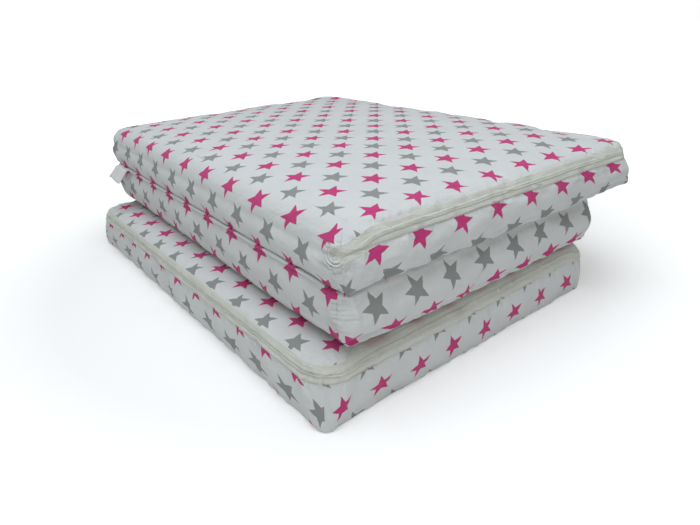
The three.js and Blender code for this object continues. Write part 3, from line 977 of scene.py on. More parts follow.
@dataclass(frozen=True)
class Settling:
    """A short cloth simulation that lets a cover's spare cloth buckle between its seams."""

    frames: int = 16
    pressure: float = 1.2
    spare: float = 0.022
    cap: float = 3.2
    quality: int = 5

    @staticmethod
    def calm(skin: Skin) -> np.ndarray:
        """Say how much of the movement each point keeps: less in the middle of the upper face."""
        kept = np.ones(len(skin.points))
        face = np.unique(skin.upper_grid)
        half = np.array([skin.outline.length / 2, skin.outline.width / 2]) - 18.0
        inside = np.clip((half - np.abs(skin.points[face, :2])).min(axis=1), 0, None)
        kept[face] = 0.2 + 0.45 * np.exp(-inside / 22.0)
        rows = skin.row_of(Band.UPPER_TAPE) if Band.UPPER_TAPE in skin.stations_bands else 0
        for row in range(rows):
            kept[skin.ids[row]] = 0.65 + 0.3 * row / rows
        out = skin.outline.out[:, 0]
        kept[skin.ids[:, (-out if skin.tuck else np.abs(out)) > 0.75]] *= 0.55
        return kept

    def settle(self, fine: Skin, coarse: Skin, held: np.ndarray) -> None:
        """Simulate a coarse copy of a skin, and move the fine one along with it.

        Args:
            fine: The skin to change.
            coarse: The same skin with fewer cells, in the same place.
            held: How firmly each point of the coarse skin is held, from 0 to 1.
        """
        start = coarse.points * MM
        faces = [tuple(int(v) for v in cell) for cell in coarse.quads]
        body = make_object("settling", coarse.points, faces, Matrix.Identity(4))
        group = body.vertex_groups.new(name="held")
        for weight in np.unique(held[held > 0]):
            group.add(np.nonzero(held == weight)[0].tolist(), float(weight), "REPLACE")
        cloth = body.modifiers.new("cloth", "CLOTH")
        values = cloth.settings
        values.quality = self.quality
        values.mass = 0.2
        values.tension_stiffness = values.compression_stiffness = 25.0
        values.shear_stiffness = 8.0
        values.bending_stiffness = 0.6
        values.air_damping = 4.0
        values.vertex_group_mass = "held"
        values.shrink_min = values.shrink_max = -self.spare
        values.use_pressure = True
        values.uniform_pressure_force = self.pressure
        values.effector_weights.gravity = 0.0
        cloth.collision_settings.use_collision = False
        cloth.collision_settings.use_self_collision = False
        cloth.point_cache.frame_start, cloth.point_cache.frame_end = 1, self.frames
        for number in range(1, self.frames + 1):
            bpy.context.scene.frame_set(number)
        shown = body.evaluated_get(bpy.context.evaluated_depsgraph_get())
        ended = np.empty(len(start) * 3)
        shown.data.vertices.foreach_get("co", ended)
        moved = (ended.reshape(-1, 3) - start) / MM
        mesh = body.data
        bpy.data.objects.remove(body)
        bpy.data.meshes.remove(mesh)
        bpy.context.scene.frame_set(1)
        length = np.linalg.norm(moved, axis=1, keepdims=True)
        moved *= np.tanh(length / self.cap) * self.cap / np.maximum(length, 1e-6)
        moved *= self.calm(coarse)[:, None]
        furthest = np.linalg.norm(moved, axis=1).max()
        LOG.info("settled %d points by up to %.1f mm", len(moved), furthest)
        tree = KDTree(len(start))
        for index, place in enumerate(coarse.points):
            tree.insert(place, index)
        tree.balance()
        for index, place in enumerate(fine.points):
            found = tree.find_n(place, 4)
            weights = np.array([1 / (apart + 0.3) ** 2 for _, _, apart in found])
            near = moved[[number for _, number, _ in found]]
            fine.points[index] += weights @ near / weights.sum()


@dataclass(frozen=True)
class Ridge:
    """One soft fold of the cloth between two places of the object, in millimetres."""

    start: Triple
    end: Triple
    height: float
    width: float = 2.5

    def at(self, points: np.ndarray) -> np.ndarray:
        """Find how far the fold lifts the cloth.

        Args:
            points: Places in the object's frame.

        Returns:
            The lift at each place.
        """
        start, end = np.array(self.start), np.array(self.end)
        line = end - start
        length = np.linalg.norm(line)
        share = (points - start) @ line / length ** 2
        near = points - start - np.clip(share, 0, 1)[:, None] * line
        apart = np.linalg.norm(near, axis=1)
        taper = np.sin(np.clip(share * 0.92 + 0.06, 0, 1) * math.pi) ** 0.7
        return self.height * taper * np.exp(-(apart / self.width) ** 2)


@dataclass(frozen=True)
class Rosette:
    """Cloth drawn together round the tucked-in end of a zip, in pleats like a shell."""

    centre: Triple
    right: Triple
    reach: float = 11.0
    height: float = 1.6
    dimple: float = 1.2
    open_angle: float = 15.0

    def places(self, points: np.ndarray) -> np.ndarray:
        """Measure places round the centre.

        Args:
            points: Places in the object's frame.

        Returns:
            How far across and up each lies, and how strong the pleats are there.
        """
        away = points - np.array(self.centre)
        across, up = away @ np.array(self.right), away[:, 2]
        apart = np.linalg.norm(away, axis=1)
        angle = np.degrees(np.arctan2(up, across)) - self.open_angle
        open_side = np.clip((np.cos(np.radians(angle)) - 0.3) / 0.4, 0, 1)
        strength = np.clip((1.25 * self.reach - apart) / (0.5 * self.reach), 0, 1)
        return np.stack([across, up, strength * (1 - 0.8 * open_side)], axis=1)

    def at(self, points: np.ndarray) -> np.ndarray:
        """Find how far the gathered cloth stands out: a puffed ring round a dimple."""
        apart = np.linalg.norm(points - np.array(self.centre), axis=1)
        ring = self.height * np.exp(-((apart - 0.75 * self.reach) / (0.5 * self.reach)) ** 2)
        return ring - self.dimple * np.exp(-(apart / 3.4) ** 2)


@dataclass(frozen=True)
class Wrinkles:
    """All that makes one panel's cloth uneven."""

    folds: tuple[Ridge | Rosette, ...] = ()
    sag: float = 0.9
    seed: int = 1
    droop: float = 0.0
    groove: float = 0.5
    resting: tuple[Band, ...] = (Band.LOWER_FACE,)

    def mark(self, skin: Skin, placement: Matrix) -> None:
        """Store at each point how near it is to the seams and to a zip's end.

        Args:
            skin: The skin.
            placement: The panel's place, in metres.
        """
        count = skin.outline.count
        size = skin.ring_count * count
        far = np.full(len(skin.points), NO_SEAM)
        level, upright = far.copy(), far.copy()
        down = skin.down[:size].reshape(skin.ring_count, count)
        seams = [b for b in (Band.UPPER_TAPE, Band.WALL, Band.LOWER_EDGE)
                 if b in skin.stations_bands]
        for band in seams:
            apart = np.where(skin.sewn(band), np.abs(down - down[skin.row_of(band)]), NO_SEAM)
            level[:size] = np.minimum(level[:size], apart.ravel())
        face = np.unique(skin.upper_grid)
        half = np.array([skin.outline.length / 2, skin.outline.width / 2]) - 12.0
        reach = np.abs(skin.points[face, :2])
        if skin.tuck:
            reach[:, 0] = skin.points[face, 0]
        level[face] = np.clip((half - reach).min(axis=1), 9.0, NO_SEAM)
        arc = skin.outline.arc
        fold = skin.outline.side_slice(Side.FOLD)[skin.seam_columns]
        for col in (count - skin.seam_columns, fold):
            apart = np.abs(arc - arc[col])
            apart = np.minimum(apart, arc[-1] - apart)
            upright[:size] = np.minimum(upright[:size], np.tile(apart, skin.ring_count))
        upper = np.arange(size) // count < skin.row_of(seams[0])
        upright[:size][upper] = NO_SEAM
        skin.pull = np.stack([level, upright, np.zeros_like(level)], axis=1)
        turn = np.array(placement.to_3x3())
        world = skin.points @ turn.T + np.array(placement.translation) / MM
        skin.swirl = np.zeros_like(world)
        for fold_ in self.folds:
            if isinstance(fold_, Rosette):
                place = fold_.places(world)
                stronger = place[:, 2] > skin.swirl[:, 2]
                skin.swirl[stronger] = place[stronger]

    def press(self, skin: Skin, placement: Matrix) -> None:
        """Work the unevenness into a skin.

        Args:
            skin: The skin to change.
            placement: The panel's place, in metres.
        """
        normals = skin.normals()
        turn = np.array(placement.to_3x3())
        world = skin.points @ turn.T + np.array(placement.translation) / MM
        calm = np.ones(len(skin.points))
        bands = np.array(skin.bands)
        for band in self.resting:
            calm[np.unique(skin.quads[bands == band])] = 0.0
        wide, fine = Unevenness(75.0, self.seed), Unevenness(34.0, self.seed + 7)
        soft = 0.6 * wide.at(world) + 0.4 * fine.at(world)
        lift = self.sag * soft * calm
        count = skin.outline.count
        pucker = 1 + 0.7 * Unevenness(8.0, self.seed + 11).at(world)
        for band, depth in ((Band.UPPER_TAPE, 0.25), (Band.WALL, 0.5), (Band.LOWER_EDGE, 1.0)):
            if band in skin.stations_bands:
                row = skin.ids[skin.row_of(band)][skin.sewn(band)]
                lift[row] -= self.groove * depth * pucker[row]
        second = skin.outline.side_slice(Side.FOLD)[skin.seam_columns]
        for col in (count - skin.seam_columns, second):
            seam = skin.ids[skin.row_of(Band.WALL):, col]
            lift[seam] -= 1.6 * self.groove * pucker[seam]
        for fold in self.folds:
            lift += fold.at(world)
        skin.points += normals * lift[:, None]
        if self.droop:
            self.let_droop(skin, world)
        self.mark(skin, placement)

    def let_droop(self, skin: Skin, world: np.ndarray) -> None:
        """Let the lower edge hang a little over the panel below, more in some places.

        Args:
            skin: The skin to change.
            world: Its points in the object's frame.
        """
        count = skin.outline.count
        first = skin.row_of(Band.WALL)
        last = skin.ring_count - 1
        rows = np.arange(skin.ring_count)
        edge = skin.row_of(Band.LOWER_EDGE)
        rise = np.clip((rows - first) / (edge - 3 - first), 0, 1) ** 2.5
        fall = np.clip((last - rows) / (last - edge + 2), 0, 1)
        weight = np.repeat(rise * fall, count)
        free = np.tile(1 - np.clip(-skin.outline.out[:, 0], 0, 1) ** 2, skin.ring_count)
        size = skin.ring_count * count
        free *= np.clip((140.0 - world[:size, 0]) / 40.0, 0, 1)
        wave = 0.55 + 0.7 * Unevenness(38.0, self.seed + 3).at(world[:size] * [1, 1, 0.2])
        skin.points[:size, 2] -= self.droop * weight * free * wave


class Cloth:
    """Turns picked cells of a skin into a piece with turned-in edges."""

    turning = 2.4

    def __init__(self, skin: Skin, placement: Matrix) -> None:
        """Remember the skin and its panel's place in the object's frame, in metres."""
        self.skin = skin
        self.placement = placement
        self.normals = skin.normals()

    def piece(self, name: str, wanted: np.ndarray, places: np.ndarray,
              offset: float = 0.0) -> bpy.types.Object:
        """Make a piece of the skin.

        Args:
            name: The piece's name.
            wanted: Which cells it takes.
            places: The print's place at each point of the skin.
            offset: How far it stands proud of the skin, in millimetres.

        Returns:
            The new object.
        """
        quads = self.skin.quads[wanted]
        used, flat = np.unique(quads, return_inverse=True)
        cells = flat.reshape(quads.shape)
        points = self.skin.points[used] + self.normals[used] * offset
        rims = self.rim_edges(cells)
        rim_ids = np.unique(rims)
        turned = points[rim_ids] - self.normals[used][rim_ids] * self.turning
        lookup = np.full(len(points), -1)
        lookup[rim_ids] = len(points) + np.arange(len(rim_ids))
        skirt = [(b, a, lookup[a], lookup[b]) for a, b in rims]
        all_points = np.concatenate([points, turned])
        all_places = np.concatenate([places[used], places[used][rim_ids]])
        faces = [tuple(int(v) for v in cell) for cell in cells]
        faces += [tuple(int(v) for v in cell) for cell in skirt]
        made = make_object(name, all_points, faces, self.placement, all_places)
        for key, values in (("pull", self.skin.pull), ("swirl", self.skin.swirl)):
            carry(made.data, key, np.concatenate([values[used], values[used][rim_ids]]))
        self.crease_rim(made.data, rims)
        return made

    @staticmethod
    def crease_rim(mesh: bpy.types.Mesh, rims: np.ndarray) -> None:
        """Keep the shading of a piece's face apart from that of its turned-in edge.

        Args:
            mesh: The piece's mesh.
            rims: The rim's edges, as pairs of points.
        """
        ends = np.empty(len(mesh.edges) * 2, int)
        mesh.edges.foreach_get("vertices", ends)
        ends = np.sort(ends.reshape(-1, 2), axis=1)
        size = len(mesh.vertices)
        rim = np.sort(rims, axis=1)
        sharp = np.isin(ends[:, 0] * size + ends[:, 1], rim[:, 0] * size + rim[:, 1])
        attribute = mesh.attributes.new("sharp_edge", "BOOLEAN", "EDGE")
        attribute.data.foreach_set("value", sharp)

    @staticmethod
    def rim_edges(cells: np.ndarray) -> np.ndarray:
        """Find the edges with a cell on one side only, in the cells' own direction."""
        edges = np.concatenate([cells[:, [i, (i + 1) % 4]] for i in range(4)])
        low = np.minimum(edges[:, 0], edges[:, 1]).astype(np.int64)
        high = np.maximum(edges[:, 0], edges[:, 1]).astype(np.int64)
        key = low * (int(cells.max()) + 1) + high
        _, first, counts = np.unique(key, return_index=True, return_counts=True)
        return edges[first[counts == 1]]


def carry(mesh: bpy.types.Mesh, name: str, vectors: np.ndarray) -> None:
    """Store a vector at each point of a mesh, for its material."""
    attribute = mesh.attributes.new(name, "FLOAT_VECTOR", "POINT")
    attribute.data.foreach_set("vector", vectors.astype(np.float32).ravel())


def make_object(name: str, points: np.ndarray, faces: list[tuple[int, ...]], placement: Matrix,
                places: np.ndarray | None = None) -> bpy.types.Object:
    """Make a smooth mesh object in the object's frame.

    Args:
        name: The object's name.
        points: Its points in millimetres, in the panel's frame.
        faces: Its faces.
        placement: The panel's place, in metres.
        places: The print's place at each point.

    Returns:
        The new object.
    """
    mesh = bpy.data.meshes.new(name)
    metres = points * MM
    rotation = np.array(placement.to_3x3())
    moved = metres @ rotation.T + np.array(placement.translation)
    mesh.from_pydata(moved.tolist(), [], faces)
    mesh.update()
    mesh.shade_smooth()
    if places is not None:
        carry(mesh, "print", places)
    made = bpy.data.objects.new(name, mesh)
    bpy.context.scene.collection.objects.link(made)
    return made


@dataclass
class Finishes:
    """All the finishes, made once."""

    cotton: bpy.types.Material = field(default_factory=lambda: PrintedCotton().build())
    tape: bpy.types.Material = field(default_factory=lambda: TapeCloth("zip_tape").build())
    coil: bpy.types.Material = field(
        default_factory=lambda: Moulded("zip_coil", (0.66, 0.67, 0.61), 0.6).build())
    metal: bpy.types.Material = field(
        default_factory=lambda: Moulded("zip_lacquer", (0.72, 0.70, 0.60), 0.35, 0.2).build())
    foam: bpy.types.Material = field(default_factory=lambda: CutFoam().build())
    label: bpy.types.Material = field(default_factory=lambda: LabelCloth().build())


# The size that each cloth is cut to, in metres, without its turnings.
CUT_SIZES: dict[str, tuple[float, float]] = {
    "bottom_inner_sheet": (0.575, 0.375), "bottom_outer_sheet": (0.59, 0.44),
    "bottom_front_band": (0.40, 0.048), "bottom_back_band": (0.40, 0.048),
    "bottom_end_band": (0.59, 0.048),
    "middle_upper_sheet": (0.59, 0.402), "middle_lower_sheet": (0.59, 0.418),
    "middle_front_band": (0.36, 0.066), "middle_back_band": (0.36, 0.066),
    "top_inner_sheet": (0.59, 0.406), "top_outer_sheet": (0.59, 0.446),
    "top_front_band": (0.41, 0.0445), "top_back_band": (0.41, 0.0445),
    "top_end_band": (0.59, 0.043),
    "label": (0.05, 0.031),
}


def declare_cut(node: str) -> None:
    """Look up whether a piece's node has a cut size in CUT_SIZES; nothing is stored, declared or
    returned.

    Args:
        node: The node that it stands for.
    """
    if node == "label":
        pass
    elif node in CUT_SIZES:
        core = f"{node.split('_')[0]}_foam_core"


def dress(piece: bpy.types.Object, material: bpy.types.Material, slot: str, body: str,
          *nodes: str) -> bpy.types.Object:
    """Give a piece its finish, and tie it to its body and to the nodes it stands for.

    Args:
        piece: The piece.
        material: Its material.
        slot: The record's material slot; not used.
        body: The body it rides on.
        *nodes: The nodes that it replaces.

    Returns:
        The piece.
    """
    piece.data.materials.append(material)
    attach(piece, body)
    if nodes:
        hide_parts(*nodes)
        declare_cut(nodes[0])
    LOG.info("%s: %d faces on %s", piece.name, len(piece.data.polygons), body)
    return piece


@dataclass
class Panel:
    """What the zipped panels and the middle one share: a foam core in a sewn cover.

    The core stands back from the cover's skin. A strip of the upper face at the free end may
    settle with the sides, and a negative one means none.
    """

    name: str
    length: float
    placement: Matrix
    finishes: Finishes
    width: float = 590.0
    thickness: float = 60.0
    corner_radii: Corners = (22.0, 35.0, 35.0, 14.0)
    foot_corner: float = 12.0
    crown: float = 0.0
    side_bulge: float = 6.0
    fold_bulge: float = 4.0
    pinch: float = 0.4
    zip_tuck: float = 0.0
    wide_tape: bool = False
    wrinkles: Wrinkles = field(default_factory=Wrinkles)
    settling: Settling = field(default_factory=Settling)
    strip: float = -1.0
    stand_back: float = 5.0
    fine_cells: tuple[int, ...] = (110, 136)
    coarse_cells: tuple[int, ...] = (58, 86, 5, 3)
    core_cells: tuple[int, ...] = (30, 40, 4)

    @property
    def body(self) -> str:
        """The body that the panel's pieces ride on."""
        return f"{self.name}_panel"

    def sides(self, out: np.ndarray) -> tuple[Profiles, np.ndarray]:
        """Share the profiles out among the columns, by how far each faces the panel's end."""
        raise NotImplementedError

    def shape(self, skin: Skin) -> None:
        """Give the panel its own set."""
        raise NotImplementedError

    def skin(self, long_cells: int, wide_cells: int, corner_cells: int = 18,
             thin: int = 1) -> Skin:
        """Build the panel's skin.

        Args:
            long_cells: Cells along the front and the back.
            wide_cells: Cells along the free end and the fold side.
            corner_cells: Cells round half a corner.
            thin: Keep one station in this many, and the first of each band.

        Returns:
            The skin.
        """
        outline = Outline(self.length, self.width, self.corner_radii, self.foot_corner,
                          long_cells, wide_cells, corner_cells)
        profiles, full = self.sides(outline.out[:, 0])
        quarter = np.abs((np.degrees(outline.angle) % 90) / 45 - 1)
        made = Skin(outline, thinned(profiles, thin),
                    full * (self.pinch + (1 - self.pinch) * quarter),
                    self.crown, self.zip_tuck, self.wide_tape)
        self.shape(made)
        return made

    def covered(self) -> Skin:
        """Build the cover's skin, let it settle, and work the wrinkles in."""
        skin, coarse = self.skin(*self.fine_cells), self.skin(*self.coarse_cells)
        held = held_points(coarse, self.wrinkles.resting, self.strip)
        self.settling.settle(skin, coarse, held)
        self.wrinkles.press(skin, self.placement)
        return skin

    def world_plan(self, plan: np.ndarray) -> tuple[np.ndarray, np.ndarray]:
        """Turn unrolled places of the panel into the object's axes.

        Args:
            plan: Unrolled X and Y in the panel's frame, in millimetres.

        Returns:
            The same along the object's Y, and along its X.
        """
        turn = np.array(self.placement.to_3x3())[:2, :2]
        shift = np.array(self.placement.translation)[:2] / MM
        moved = plan @ turn.T + shift
        return moved[:, 1], moved[:, 0]

    def add_cover(self, cloth: Cloth, part: str, wanted: np.ndarray, places: np.ndarray) -> None:
        """Make one printed piece of the cover, from some cells of its skin."""
        key = f"{self.name}_{part}"
        made = cloth.piece(f"{key}_cloth", wanted, places)
        dress(made, self.finishes.cotton, "printed_cotton", self.body, key)

    def add_foam(self) -> None:
        """Make the foam core that fills the cover."""
        skin = self.skin(*self.core_cells)
        self.wrinkles.mark(skin, self.placement)
        made = Cloth(skin, self.placement).piece(
            f"{self.name}_foam_core", np.ones(len(skin.quads), bool),
            np.zeros_like(skin.points), -self.stand_back)
        dress(made, self.finishes.foam, "foam", self.body, f"{self.name}_foam")


@dataclass
class EndPanel(Panel):
    """A zipped panel: the top or the bottom one of the stack.

    Past level_from, in millimetres along the panel, its underside stays flat.
    """

    end_skew: tuple[float, float] = (0.0, 0.0)
    front_skew: float = 0.0
    rim_radius: float = 20.0
    fold_rim_radius: float = 22.0
    foot_radius: float = 14.0
    fold_foot_radius: float = 5.0
    upper_seam_tilt: float = 52.0
    zip_tilt: float = 28.0
    lower_seam_rise: float = 2.5
    tape_flat: float = 6.5
    coil_outer: float = 2.1
    coil_inner: float = 0.3
    zip_tuck: float = 11.0
    level_from: float = -300.0
    stand_back: float = 8.5
    fine_cells: tuple[int, ...] = (116, 136)
    coarse_cells: tuple[int, ...] = (62, 86, 6, 3)

    def zip_line(self, shift: float) -> tuple[float, float]:
        """Find a point of the flat zip on the profile.

        Args:
            shift: Millimetres up from the chain's middle.

        Returns:
            Its inset and height.
        """
        tilt = math.radians(self.zip_tilt)
        centre = self.thickness - self.crown - self.rim_radius
        inset = self.rim_radius * (1 - math.cos(tilt)) + shift * math.sin(tilt)
        return inset, centre + self.rim_radius * math.sin(tilt) + shift * math.cos(tilt)

    def free_profile(self) -> list[Station]:
        """List the stations of a zipped side, from the upper rim to the lower one."""
        centre = self.thickness - self.crown - self.rim_radius
        seam = self.upper_seam_tilt
        edge = arc_stations(Band.UPPER_EDGE, self.rim_radius, centre,
                            np.linspace(90, seam, 9)[:-1])
        upper = arc_stations(Band.UPPER_TAPE, self.rim_radius, centre, np.array([seam]))
        tape = np.linspace(self.tape_flat, self.coil_outer, 4)
        shifts = {
            Band.UPPER_TAPE: tape[:-1],
            Band.UPPER_COIL: (self.coil_outer,),
            Band.PARTING: (self.coil_inner,),
            Band.LOWER_COIL: (-self.coil_inner,),
            Band.LOWER_TAPE: -tape[::-1],
        }
        flat = [Station(band, *self.zip_line(shift)) for band, line in shifts.items()
                for shift in line]
        low_inset, low_height = self.zip_line(-self.tape_flat)
        seam_height = centre + self.lower_seam_rise
        lower = [Station(Band.LOWER_TAPE, low_inset * (1 - s) ** 1.5,
                         low_height + (seam_height - low_height) * s) for s in (0.25, 0.5, 0.75)]
        wall = wall_stations(seam_height, self.foot_radius, 18)
        return edge + upper + flat + lower + wall + foot_stations(self.foot_radius)

    def fold_profile(self) -> list[Station]:
        """List the stations of the side without a zip, whose rim is one plain rounding."""
        radius = self.fold_rim_radius
        centre = self.thickness - self.crown - radius
        bands = [station.band for station in self.free_profile()]
        count = bands.index(Band.WALL)
        rim = arc_stations(Band.UPPER_EDGE, radius, centre, np.linspace(90, 0, count + 1)[:-1])
        wall = wall_stations(centre, self.fold_foot_radius, 18)
        return rim + wall + foot_stations(self.fold_foot_radius)

    def sides(self, out: np.ndarray) -> tuple[Profiles, np.ndarray]:
        """Say which profile each column has, and how far it swells.

        Args:
            out: How far each column faces the panel's end, from -1 to 1.

        Returns:
            The profiles with their shares, and the columns' bulges.
        """
        toward_fold = np.where(out < 0, out ** 2, 0)
        full = self.side_bulge + (self.fold_bulge - self.side_bulge) * toward_fold
        profiles = [(1 - toward_fold, self.free_profile()), (toward_fold, self.fold_profile())]
        return profiles, full

    def build(self, prints: dict[str, PrintPlace]) -> None:
        """Make the panel's pieces.

        Args:
            prints: Where the print lies on each cloth.
        """
        skin = self.covered()
        level = skin.points[:, 0] > self.level_from
        skin.points[level, 2] = np.maximum(skin.points[level, 2], 0.0)
        cloth = Cloth(skin, self.placement)
        bands, sides = np.array(skin.bands), np.array(skin.sides)
        fold = sides == Side.FOLD
        hung = fold & np.isin(bands, (*ZIP_BANDS, Band.WALL))
        upper = np.isin(bands, (Band.UPPER_FACE, Band.UPPER_EDGE))
        lower = np.isin(bands, (Band.LOWER_FACE, Band.LOWER_EDGE))
        if self.name == "top":
            sheets = {"outer_sheet": (upper | hung, skin.from_upper),
                      "inner_sheet": (lower, skin.from_lower)}
        else:
            sheets = {"inner_sheet": (upper, skin.from_upper),
                      "outer_sheet": (lower | hung, skin.from_lower)}
        for part, (wanted, plan) in sheets.items():
            places = prints[f"{self.name}_{part}"].at(*self.world_plan(plan))
            self.add_cover(cloth, part, wanted, places)
        wall = bands == Band.WALL
        faces = {"front": Side.FRONT, "end": Side.END, "back": Side.BACK}
        if self.name == "bottom":
            faces = {"front": Side.BACK, "end": Side.END, "back": Side.FRONT}
        for part, side in faces.items():
            places = prints[f"{self.name}_{part}_band"].at(skin.down, skin.along)
            places[skin.swirl[:, 2] > 0.02, 2] = NO_STARS
            self.add_cover(cloth, f"{part}_band", wall & (sides == side), places)
        self.add_zip(skin, cloth, bands, ~fold)
        self.add_foam()

    def shape(self, skin: Skin) -> None:
        """Draw the free end in and shear the panel, as it lies in the stack.

        Args:
            skin: The skin to change.
        """
        toward_end = np.clip(0.5 + skin.points[:, 0] / self.length, 0, 1)
        near = np.clip(0.5 + skin.points[:, 1] / self.width, 0, 1)
        pulled = self.end_skew[1] + (self.end_skew[0] - self.end_skew[1]) * near
        skin.points[:, 0] -= pulled * toward_end ** 2
        skin.points[:, 1] -= self.front_skew * near * (1 - toward_end)

    def add_zip(self, skin: Skin, cloth: Cloth, bands: np.ndarray, free: np.ndarray) -> None:
        """Make the tapes, the coils and the stitching.

        Args:
            skin: The panel's skin.
            cloth: The maker of pieces.
            bands: The band of each cell.
            free: Which cells lie on the three free sides.
        """
        places = np.stack([skin.along, skin.down, np.zeros_like(skin.down)], axis=1)
        tapes = {"upper": (Band.UPPER_TAPE, Band.UPPER_COIL),
                 "lower": (Band.PARTING, Band.LOWER_COIL, Band.LOWER_TAPE)}
        for piece, held in tapes.items():
            key = f"{self.name}_zip_{piece}_tape"
            made = cloth.piece(f"{key}_cloth", free & np.isin(bands, held), places)
            dress(made, self.finishes.tape, "zip_tape", self.body, key)
        coils = (("upper", Band.UPPER_COIL, 0.0), ("lower", Band.LOWER_COIL, 0.5))
        for piece, band, phase in coils:
            key = f"{self.name}_zip_{piece}_coil"
            row = skin.row_of(band)
            outer, inner = (row, row + 1) if piece == "upper" else (row + 1, row)
            coil = CoilRun(skin, cloth, outer, inner, phase)
            dress(coil.build(f"{key}_teeth"), self.finishes.coil, "zip_coil", self.body, key)
        upper, lower = skin.row_of(Band.UPPER_TAPE), skin.row_of(Band.WALL)
        for piece, row, step in (("upper", upper, 1), ("lower", lower, -1)):
            line = StitchLine(skin, cloth, row, row + step)
            made = line.build(f"{self.name}_zip_{piece}_stitches")
            dress(made, self.finishes.tape, "zip_tape", self.body)


@dataclass
class Path:
    """A line on a skin along its three free sides, measured by length."""

    skin: Skin
    cloth: Cloth
    row: int
    other: int
    share: float = 0.0

    def __post_init__(self) -> None:
        """Collect the line's points and directions."""
        outline = self.skin.outline
        count = 2 * outline.long_cells + outline.wide_cells + 1
        first, second = self.skin.ids[self.row][:count], self.skin.ids[self.other][:count]
        points, normals = self.skin.points, self.cloth.normals
        self.points = points[first] * (1 - self.share) + points[second] * self.share
        mixed = normals[first] * (1 - self.share) + normals[second] * self.share
        self.normals = mixed / np.linalg.norm(mixed, axis=1, keepdims=True)
        steps = np.linalg.norm(np.diff(self.points, axis=0), axis=1)
        self.arc = np.concatenate([[0], np.cumsum(steps)])

    def at(self, lengths: np.ndarray) -> tuple[np.ndarray, np.ndarray]:
        """Read the points and the skin's directions at some lengths from the start."""
        place = np.stack([np.interp(lengths, self.arc, self.points[:, i]) for i in range(3)], 1)
        out = np.stack([np.interp(lengths, self.arc, self.normals[:, i]) for i in range(3)], 1)
        return place, out


@dataclass
class CoilRun:
    """One of a zip's two coils: teeth that reach over the middle in turn with the other's."""

    skin: Skin
    cloth: Cloth
    outer: int
    inner: int
    phase: float
    pitch: float = 1.7
    reach: float = 0.9
    low: float = 0.2
    high: float = 0.85
    samples: int = 4

    def build(self, name: str) -> bpy.types.Object:
        """Make the coil.

        Args:
            name: The object's name.

        Returns:
            The new object.
        """
        outer = Path(self.skin, self.cloth, self.outer, self.outer)
        inner = Path(self.skin, self.cloth, self.inner, self.inner)
        total = outer.arc[-1]
        count = int(total / self.pitch) * self.samples
        shares = np.linspace(0, 1, count + 1)
        a, normal = outer.at(shares * total)
        b, _ = inner.at(shares * inner.arc[-1])
        tooth = 0.5 + 0.5 * np.cos(2 * math.pi * (shares * total / self.pitch + self.phase))
        inward = (b - a) / np.linalg.norm(b - a, axis=1, keepdims=True)
        tip = b + inward * (self.reach * tooth)[:, None]
        height = (self.low + (self.high - self.low) * tooth)[:, None]
        lines = [a - normal * 0.8, a + normal * height * 0.6, (a + tip) / 2 + normal * height,
                 tip + normal * height * 0.7, tip - normal * 0.8]
        points = np.concatenate(lines)
        width = count + 1
        faces = []
        for line in range(len(lines) - 1):
            for step in range(count):
                first = line * width + step
                cell = (first, first + 1, first + width + 1, first + width)
                faces.append(cell if self.outer < self.inner else cell[::-1])
        return make_object(name, points, [c[::-1] for c in faces], self.cloth.placement)


@dataclass
class StitchLine:
    """A row of lock stitches on a cloth, each one a short raised thread."""

    skin: Skin
    cloth: Cloth
    row: int
    other: int
    share: float = 0.6
    pitch: float = 3.4
    length: float = 2.5
    thread: float = 0.34

    def build(self, name: str) -> bpy.types.Object:
        """Make the stitches.

        Args:
            name: The object's name.

        Returns:
            The new object.
        """
        path = Path(self.skin, self.cloth, self.row, self.other, self.share)
        starts = np.arange(6.0, path.arc[-1] - 6.0, self.pitch)
        parts = np.array([0.0, 0.25, 0.75, 1.0])
        widths = np.array([0.15, 1.0, 1.0, 0.15]) * self.thread
        lifts = np.array([-0.2, 0.22, 0.22, -0.2])
        lengths = (starts[:, None] + parts * self.length).ravel()
        place, out = path.at(lengths)
        ahead, _ = path.at(lengths + 0.5)
        forward = (ahead - place) / np.linalg.norm(ahead - place, axis=1, keepdims=True)
        side = np.cross(forward, out)
        lift = np.tile(lifts, len(starts))[:, None]
        width = np.tile(widths, len(starts))[:, None]
        ring = [side * width, out * width, -side * width, -out * width]
        points = np.stack([place + out * lift + r for r in ring], axis=1).reshape(-1, 3)
        faces = []
        for stitch in range(len(starts)):
            base = stitch * 16
            for level in range(3):
                for corner in range(4):
                    a = base + level * 4 + corner
                    b = base + level * 4 + (corner + 1) % 4
                    faces.append((a, b, b + 4, a + 4))
            faces.append((base + 3, base + 2, base + 1, base))
            faces.append((base + 12, base + 13, base + 14, base + 15))
        places = np.zeros_like(points)
        places[:, 0] = np.repeat(lengths, 4)
        return make_object(name, points, faces, self.cloth.placement, places)


